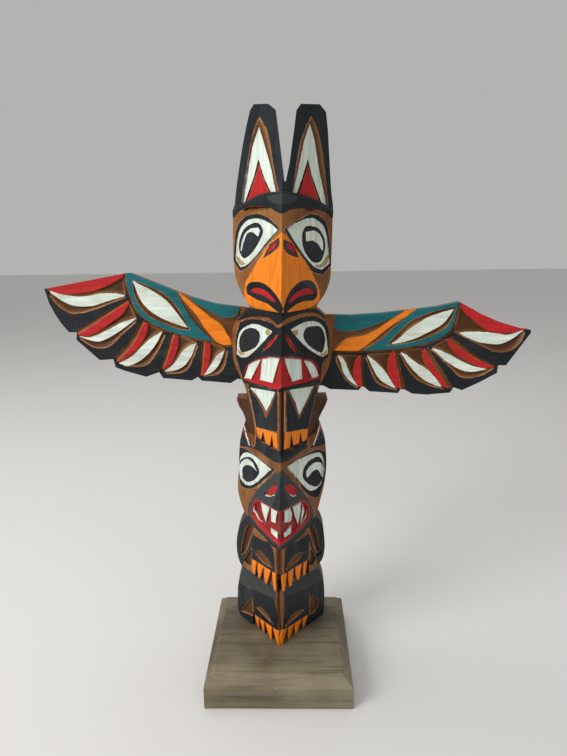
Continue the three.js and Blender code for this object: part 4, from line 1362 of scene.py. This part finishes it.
rightFeathers = [
    {"redTop": [(149, 26), (132.7, 28), (119.8, 32), (105.8, 38.6)],
     "redLow": [(148, 22.8), (142.8, 20.4), (137, 19.2), (128.9, 19.4), (122.4, 21.3), (115.6, 25.6),
         (108.7, 30.5), (106.2, 34.6)],
     "whiteTop": [(147.6, 22.6), (138.1, 18.8), (125.8, 19), (115, 18.4), (107.6, 17.2)],
     "whiteLow": [(147.6, 22.6), (145.3, 20.2), (140, 15.4), (133.8, 12.3), (128.3, 11.9), (120.8, 12.4),
         (113, 14.8), (107.6, 17)],
     "hollowLow": [(148, 20.4), (147.2, 16.4), (142.8, 10), (137.1, 7.6), (130.9, 7.7), (121, 11.2),
         (106.6, 16.4)],
     "root": [(104.6, 16.6), (105.2, 25), (106, 34.6)]},
    {"above": [(136, -2.4), (124, 2.4), (113, 8.2), (103.6, 14.6)],
     "redTop": [(132.6, -2.4), (122.7, 0.9), (112.6, 6.2), (101.4, 12.8)],
     "redLow": [(132.6, -2.8), (128.4, -3.3), (122, -2.6), (113.3, 1.1), (106.5, 4.9), (100.9, 12.4)],
     "whiteTop": [(129, -4.2), (117, -2.2), (107, 1.9), (97.2, 5.5), (93, 6)],
     "whiteLow": [(129, -4.2), (119, -6.7), (112.6, -6), (104.5, -2.3), (97.6, 2.2), (93, 5.8)],
     "hollowLow": [(132.4, -3.6), (126.7, -7.9), (119.6, -10.5), (113.3, -10.4), (104.8, -4.1),
         (92.6, 5)],
     "root": [(92.4, 6.6), (100.2, 12.6)]},
    {"above": [(109.8, -18.6), (105, -12.2), (99, -4.8), (93.4, 2.4), (90, 6.8)],
     "redTop": [(106.6, -18.4), (103.2, -13.9), (97.1, -6.8), (91.7, 0.4), (88.2, 4.8)],
     "redLow": [(106.4, -18.6), (102.6, -17.4), (98.9, -14.3), (92.8, -7.2), (89, -2.4), (86.6, 4.6)],
     "whiteTop": [(103.1, -18.2), (93, -8.4), (82.8, -3), (76.7, 0.9), (73.8, 1.8)],
     "whiteLow": [(103.1, -18.2), (98.2, -17.2), (90.7, -14.4), (82.3, -8.1), (73.8, 1.4)],
     "hollowLow": [(103.6, -19.2), (95.6, -17.8), (87.7, -15.3), (80.6, -9.5), (73.2, 0.8)],
     "root": [(73.6, 2.4), (86.2, 5.8)]},
    {"above": [(79.8, -22.2), (78, -16.4), (73.6, -3.8), (72, 2.4)],
     "redTop": [(76.9, -21.2), (75.8, -16.4), (71.2, -4), (69.8, 2)],
     "redLow": [(76.5, -21.5), (73, -20.2), (69.5, -15.7), (66.6, -7.6), (67.1, -1.8), (68.6, 2)],
     "whiteTop": [(73.6, -21.4), (65.9, -11.5), (60.2, -6.3), (53.4, -2)],
     "whiteLow": [(73.6, -21.4), (68.2, -19.7), (62.7, -16.3), (57.4, -9.1), (53.4, -2.2)],
     "hollowLow": [(74.6, -22.4), (68.4, -21.6), (61.8, -19), (57.2, -12.3), (52.6, -3.6)],
     "root": [(53.6, -1.2), (67.8, 1.2)]},
    {"above": [(53.9, -22.8), (53.2, -20), (51.8, -11), (51.2, -2)],
     "redTop": [(52, -22.8), (51.7, -19.6), (50, -11), (48.9, -2.6)],
     "redLow": [(51.4, -23.2), (48.8, -20.8), (46.3, -15.9), (45.7, -10), (46.2, -6), (48.2, -2.6)],
     "whiteTop": [(50, -22.6), (43.6, -14.2), (41.2, -9.3), (37.6, -4.5), (35, -4)],
     "whiteLow": [(50, -22.6), (44.2, -19.3), (39.9, -14.5), (37.4, -8.4), (35, -4.2)],
     "hollowLow": [(49.4, -23.6), (42.4, -19.5), (38.7, -14.6), (34.6, -7.3), (34, -4.6)],
     "root": [(34.4, -3), (47.6, -2.8)]},
]
leftArm = {
    "edge": [(-24, 20.7), (-43.4, 21.3), (-59, 24.2), (-96.9, 35.4), (-99.1, 35.2), (-148.9, 21.3),
        (-145.9, 12.7), (-142.4, 6.6), (-138, 0.4), (-133.6, -4.2), (-128.6, -3.9), (-128.9, -8.6),
        (-114.1, -20.3), (-105.4, -18.9), (-103.9, -24), (-97.7, -25.9), (-84.3, -28.4), (-76.2, -24.7),
        (-73.6, -28.3), (-55.3, -28.2), (-51.5, -25.6), (-48.9, -27.8), (-30.4, -27.6), (-26.5, -24.5),
        (-24, -24.5)],
    "lower": [(-100.2, 37), (-98.9, 28), (-95, 17.8), (-91.8, 12), (-85.5, 7), (-76, 2.9), (-63.5, -0.4),
        (-47.9, -2.3), (-41, -3.2), (-36.6, -4.4), (-32, -3.8), (-22, -3.4)],
    "frame": [[(-99.6, 38), (-98.3, 28), (-95, 18.2), (-91.8, 12.4), (-85.5, 7.4), (-76, 3.3), (-63.5, 0),
        (-47.9, -1.9), (-41, -2.9)], [(-41, -2.9), (-51.4, 5.1), (-58.6, 12.5), (-64.5, 21.6),
        (-68.2, 28)], [(-68.2, 38)]],
    "leaf": [[(-94.9, 31.4), (-83.1, 28.1), (-73.8, 24), (-68.7, 19.6), (-62.8, 11.5), (-57.8, 4)],
        [(-57.8, 4), (-64.9, 4), (-76.2, 7.2), (-83.7, 10.2), (-88.8, 14.7), (-93.3, 22.9),
        (-94.9, 31.4)]],
    "leafWhite": [[(-94.5, 30.9), (-89.2, 28.8), (-81.8, 25.8), (-73.1, 20.5), (-65.3, 12.2), (-59.2, 5)],
        [(-59.2, 5), (-66.9, 6.9), (-76.3, 9.9), (-84.5, 14.6), (-89.6, 20.2), (-94.5, 30.9)]],
    "band": [[(-68, 28), (-65, 26), (-62.2, 24.2), (-55.2, 19.5), (-45.7, 13), (-38.6, 8.7), (-34, 2.6),
        (-32, -2.4)], [(-32, -3.4), (-37.2, -3.9)], [(-41.4, -2), (-48.3, 5.3), (-54.9, 14),
        (-63.3, 22.4), (-67.6, 27)]],
    "bandGap": [[(-69.2, 30), (-65, 22.2), (-59.2, 13), (-51.9, 5.2), (-41.6, -2.9)], [(-68, 29),
        (-63.3, 22.3), (-54.9, 14), (-48.3, 5.3), (-40.8, -2.4)]],
    "shoulder": [[(-61.6, 26), (-55.3, 20.8), (-44.6, 15.7), (-37.7, 13.2), (-29.6, 15.1)], [(-28, 20),
        (-27.6, 26)]],
    "shoulderGap": [[(-64.4, 27), (-55.3, 20.9), (-44.6, 15.8), (-37.7, 13.3), (-29.6, 15.2), (-28, 22)],
        [(-65.6, 26.8), (-55.2, 19.6), (-45.7, 13.1), (-38.6, 8.8), (-33.6, 2), (-25, -4)]],
}
rightArm = {
    "edge": [(24, 20.7), (40.8, 21.8), (59.4, 24.7), (77.2, 28.5), (92.7, 31.7), (105.5, 35.9),
        (119.8, 29.8), (132.7, 25.6), (146.7, 22.9), (151.6, 22.7), (151.8, 20.8), (140.2, -0.6),
        (135.4, -1), (135.5, -5.9), (125, -13.2), (115.6, -18.9), (110, -17.6), (108.2, -21.2),
        (94, -23.8), (84.5, -24), (80.1, -22.1), (77, -21.6), (75.7, -24.5), (57.5, -25), (53.8, -22.4),
        (52.2, -22.6), (50.5, -24.9), (32.3, -25.8), (28.3, -24), (24, -24)],
    "lower": [(106.4, 38), (105.6, 33), (104.8, 25), (103.2, 18.9), (99, 13.4), (90.4, 8.9), (72.6, 3.4),
        (57.4, 0.8), (46.4, -0.8), (32, -1.6), (22, -1.8)],
    "frame": [[(106, 38), (105.2, 33), (104.4, 25), (103, 19.2), (99, 13.8), (90.4, 9.3), (72.6, 3.8),
        (57.4, 1.2), (48.8, 0.2)], [(48.8, 0.2), (56, 4.6), (62.5, 10.3), (70.5, 19.7), (78.5, 28.1),
        (80, 33)], [(80, 38)]],
    "leaf": [[(104.1, 32.7), (96, 30.6), (87.8, 27.4), (77.6, 21.6), (71.2, 14.2), (64.7, 5.2)],
        [(64.7, 5.2), (72.2, 6.8), (84.1, 10.4), (95.5, 16.4), (100.8, 21.8), (104.1, 32.7)]],
    "leafWhite": [[(102.9, 31.4), (93.8, 27.9), (85.3, 23.3), (77, 16.4), (70.6, 9.2), (66.5, 6.1)],
        [(66.5, 6.1), (72.1, 7.5), (80.9, 10.8), (89.4, 15.9), (97.7, 22.2), (102.9, 31.4)]],
    "band": [[(79.5, 32), (72.5, 27.2), (65.9, 21.9), (58.7, 15.8), (50.7, 10.7), (38.2, 6.4), (35, 2),
        (32.6, -1)], [(32.6, -1.2), (46.4, -0.6)], [(50.8, 3), (59.3, 11.3), (66.4, 18.1), (74.2, 24.4),
        (80, 29)]],
    "bandGap": [[(80.4, 31), (74.4, 24.3), (66.6, 17.9), (59.5, 11.1), (51.2, 2.9), (47.2, -0.8)],
        [(81.6, 31.6), (78.3, 28.3), (70.3, 19.9), (62.3, 10.5), (55.4, 4.8), (48.8, 0.2)]],
    "shoulder": [[(74, 30.6), (69.7, 25.2), (61.2, 20.3), (52.6, 15.8), (40.7, 12), (33.3, 12.2),
        (31, 14)], [(31, 26)]],
    "shoulderGap": [[(75, 30), (69.9, 25), (61.4, 20.1), (52.8, 15.6), (40.8, 11.9), (33.3, 12),
        (30.6, 14)], [(75.8, 29.6), (72.5, 27.3), (65.9, 22), (58.7, 15.9), (50.7, 10.8), (38.2, 6.5),
        (31, -2)]],
}


def makeWing(name, arm, feathers, seed):
    face = CarvedFace(lambda x, z: np.full(x.shape, -wing["front"]), 1.0, wing["paints"])
    border = outline(*[[p] for p in arm["edge"]])
    lower = line(*arm["lower"])
    face.coat("black", offset(border, -3))
    for feather in feathers:
        redTop, redLow = line(*feather["redTop"]), line(*feather["redLow"])
        whiteTop, whiteLow = line(*feather["whiteTop"]), line(*feather["whiteLow"])
        low = line(*feather["hollowLow"])
        if "above" in feather:
            above = line(*feather["above"])
            face.hollow(above, redTop, wing["groove"])
            face.stroke("pale", redTop, wing["wornRed"])
        face.hollow(redLow, np.vstack([whiteTop, evenly(np.array(feather["root"], float))]), wing["hollow"])
        face.hollow(whiteLow, low, wing["hollow"])
        face.coat("red", evenly(np.vstack([redTop, redLow[::-1]]), closed=True))
        face.coat("white", evenly(np.vstack([whiteTop, whiteLow[::-1]]), closed=True))
        face.stroke("pale", low, wing["wornLow"])
    armShape = evenly(np.vstack([lower, [(lower[-1][0], 45), (lower[0][0], 45)]]), closed=True)
    face.coat("stain", armShape)
    frameShape = outline(*arm["frame"])
    leaf, leafWhite = outline(*arm["leaf"]), outline(*arm["leafWhite"])
    face.coat("teal", frameShape)
    face.channel(leaf, leafWhite, wing["leafGroove"])
    face.coat("stain", leaf)
    face.coat("white", leafWhite)
    face.rub(leaf, wing["wornLeaf"])
    face.coat("orange", outline(*arm["band"]))
    face.coat("teal", outline(*arm["shoulder"]))
    for gap in ("bandGap", "shoulderGap"):
        steepSide, gentleSide = [line(*points) for points in arm[gap]]
        face.hollow(steepSide, gentleSide, wing["groove"])
    wide, bare = wing["armGroove"]
    face.groove(lower, wide, wing["groove"])
    face.stroke("stain", lower, bare)
    face.stroke("pale", line(*arm["frame"][0]), wing["wornFrame"])
    piece = solidFromFace(name + "_carved", face, border, wing["pitch"], boardFront, wing["back"],
                          wing["rings"], placeWing, seed)
    material = paintedWood(name + "_paint", wing["paints"], (0.12, 1, 1))
    dress(piece, material, name)
    print(name + ":", len(piece.data.polygons), "faces")


makeWing("left_wing", leftArm, leftFeathers, 21)
makeWing("right_wing", rightArm, rightFeathers, 22)


# The base board

base = {
    "side": 89.0,
    "thick": 19.0,
    "bevelWide": 5.7,
    "bevelHigh": 5.1,
    "wood": (0.2, 0.162, 0.098),
    "woodDark": (0.07, 0.054, 0.032),
    "woodPale": (0.3, 0.265, 0.18),
    "speck": (0.45, 0.42, 0.36),
    "wornEdge": 0.5,
    "edgeAngle": math.radians(20),
}


def baseWood():
    material = bpy.data.materials.new("board")
    wire = Nodes(material)
    place = wire.add("ShaderNodeTexCoord").outputs["Object"]
    bands = wire.noise(place, 60, 6, (0.05, 0.6, 1.6))
    streaks = wire.noise(place, 500, 4, (0.05, 1, 1))
    speckle = wire.noise(place, 900, 2)
    blotch = wire.noise(place, 30, 3)
    colour = wire.mix(wire.range(bands, 0.35, 0.65), (*base["woodDark"], 1), (*base["wood"], 1))
    colour = wire.mix(wire.range(blotch, 0.4, 0.7, 0.0, 0.6), colour, (*base["woodPale"], 1))
    colour = wire.mix(wire.range(streaks, 0.52, 0.72, 0.0, 0.7), colour, (*base["woodDark"], 1))
    colour = wire.mix(wire.range(speckle, 0.68, 0.74, 0.0, 0.6), colour, (*base["speck"], 1))
    relief = wire.math("ADD", wire.math("MULTIPLY", bands, 0.6), wire.math("MULTIPLY", streaks, 0.4))
    bump = wire.add("ShaderNodeBump", {"Height": relief, "Strength": finish["bump"],
                                       "Distance": finish["bumpDepth"]})
    shader = wire.add("ShaderNodeBsdfPrincipled", {"Base Color": colour, "Normal": bump.outputs[0],
                                                   "Roughness": wire.range(bands, 0.3, 0.7, 0.55, 0.75)})
    wire.add("ShaderNodeOutputMaterial", {"Surface": shader.outputs[0]})
    return material


def makeBase():
    # a block for the straight sides, with its top drawn up and in for the sloping border
    side, shoulder = base["side"] * mm, (base["thick"] - base["bevelHigh"]) * mm
    bpy.ops.object.select_all(action="DESELECT")
    bpy.ops.mesh.primitive_cube_add(size=1, location=(0, 0, shoulder / 2), scale=(side, side, shoulder))
    board = bpy.context.object
    board.name = board.data.name = "base_board"
    bpy.ops.object.transform_apply(location=True, rotation=True, scale=True)
    bpy.ops.object.mode_set(mode="EDIT")
    bpy.ops.mesh.select_mode(type="FACE")
    bpy.ops.mesh.select_all(action="DESELECT")
    bpy.ops.object.mode_set(mode="OBJECT")
    for face in board.data.polygons:
        face.select = face.normal.z > 0.5
    bpy.ops.object.mode_set(mode="EDIT")
    bpy.ops.mesh.extrude_region_move(TRANSFORM_OT_translate={"value": (0, 0, base["bevelHigh"] * mm)})
    narrower = 1 - 2 * base["bevelWide"] / base["side"]
    bpy.ops.transform.resize(value=(narrower, narrower, 1))
    bpy.ops.object.mode_set(mode="OBJECT")
    bevel = board.modifiers.new("worn edges", "BEVEL")
    bevel.width = base["wornEdge"] * mm
    bevel.segments = 2
    bevel.limit_method = "ANGLE"
    bevel.angle_limit = base["edgeAngle"]
    bpy.ops.object.modifier_apply(modifier=bevel.name)
    bpy.ops.object.shade_smooth_by_angle(angle=base["edgeAngle"])
    dress(board, baseWood(), "base")
    print("base board:", len(board.data.polygons), "faces")


makeBase()
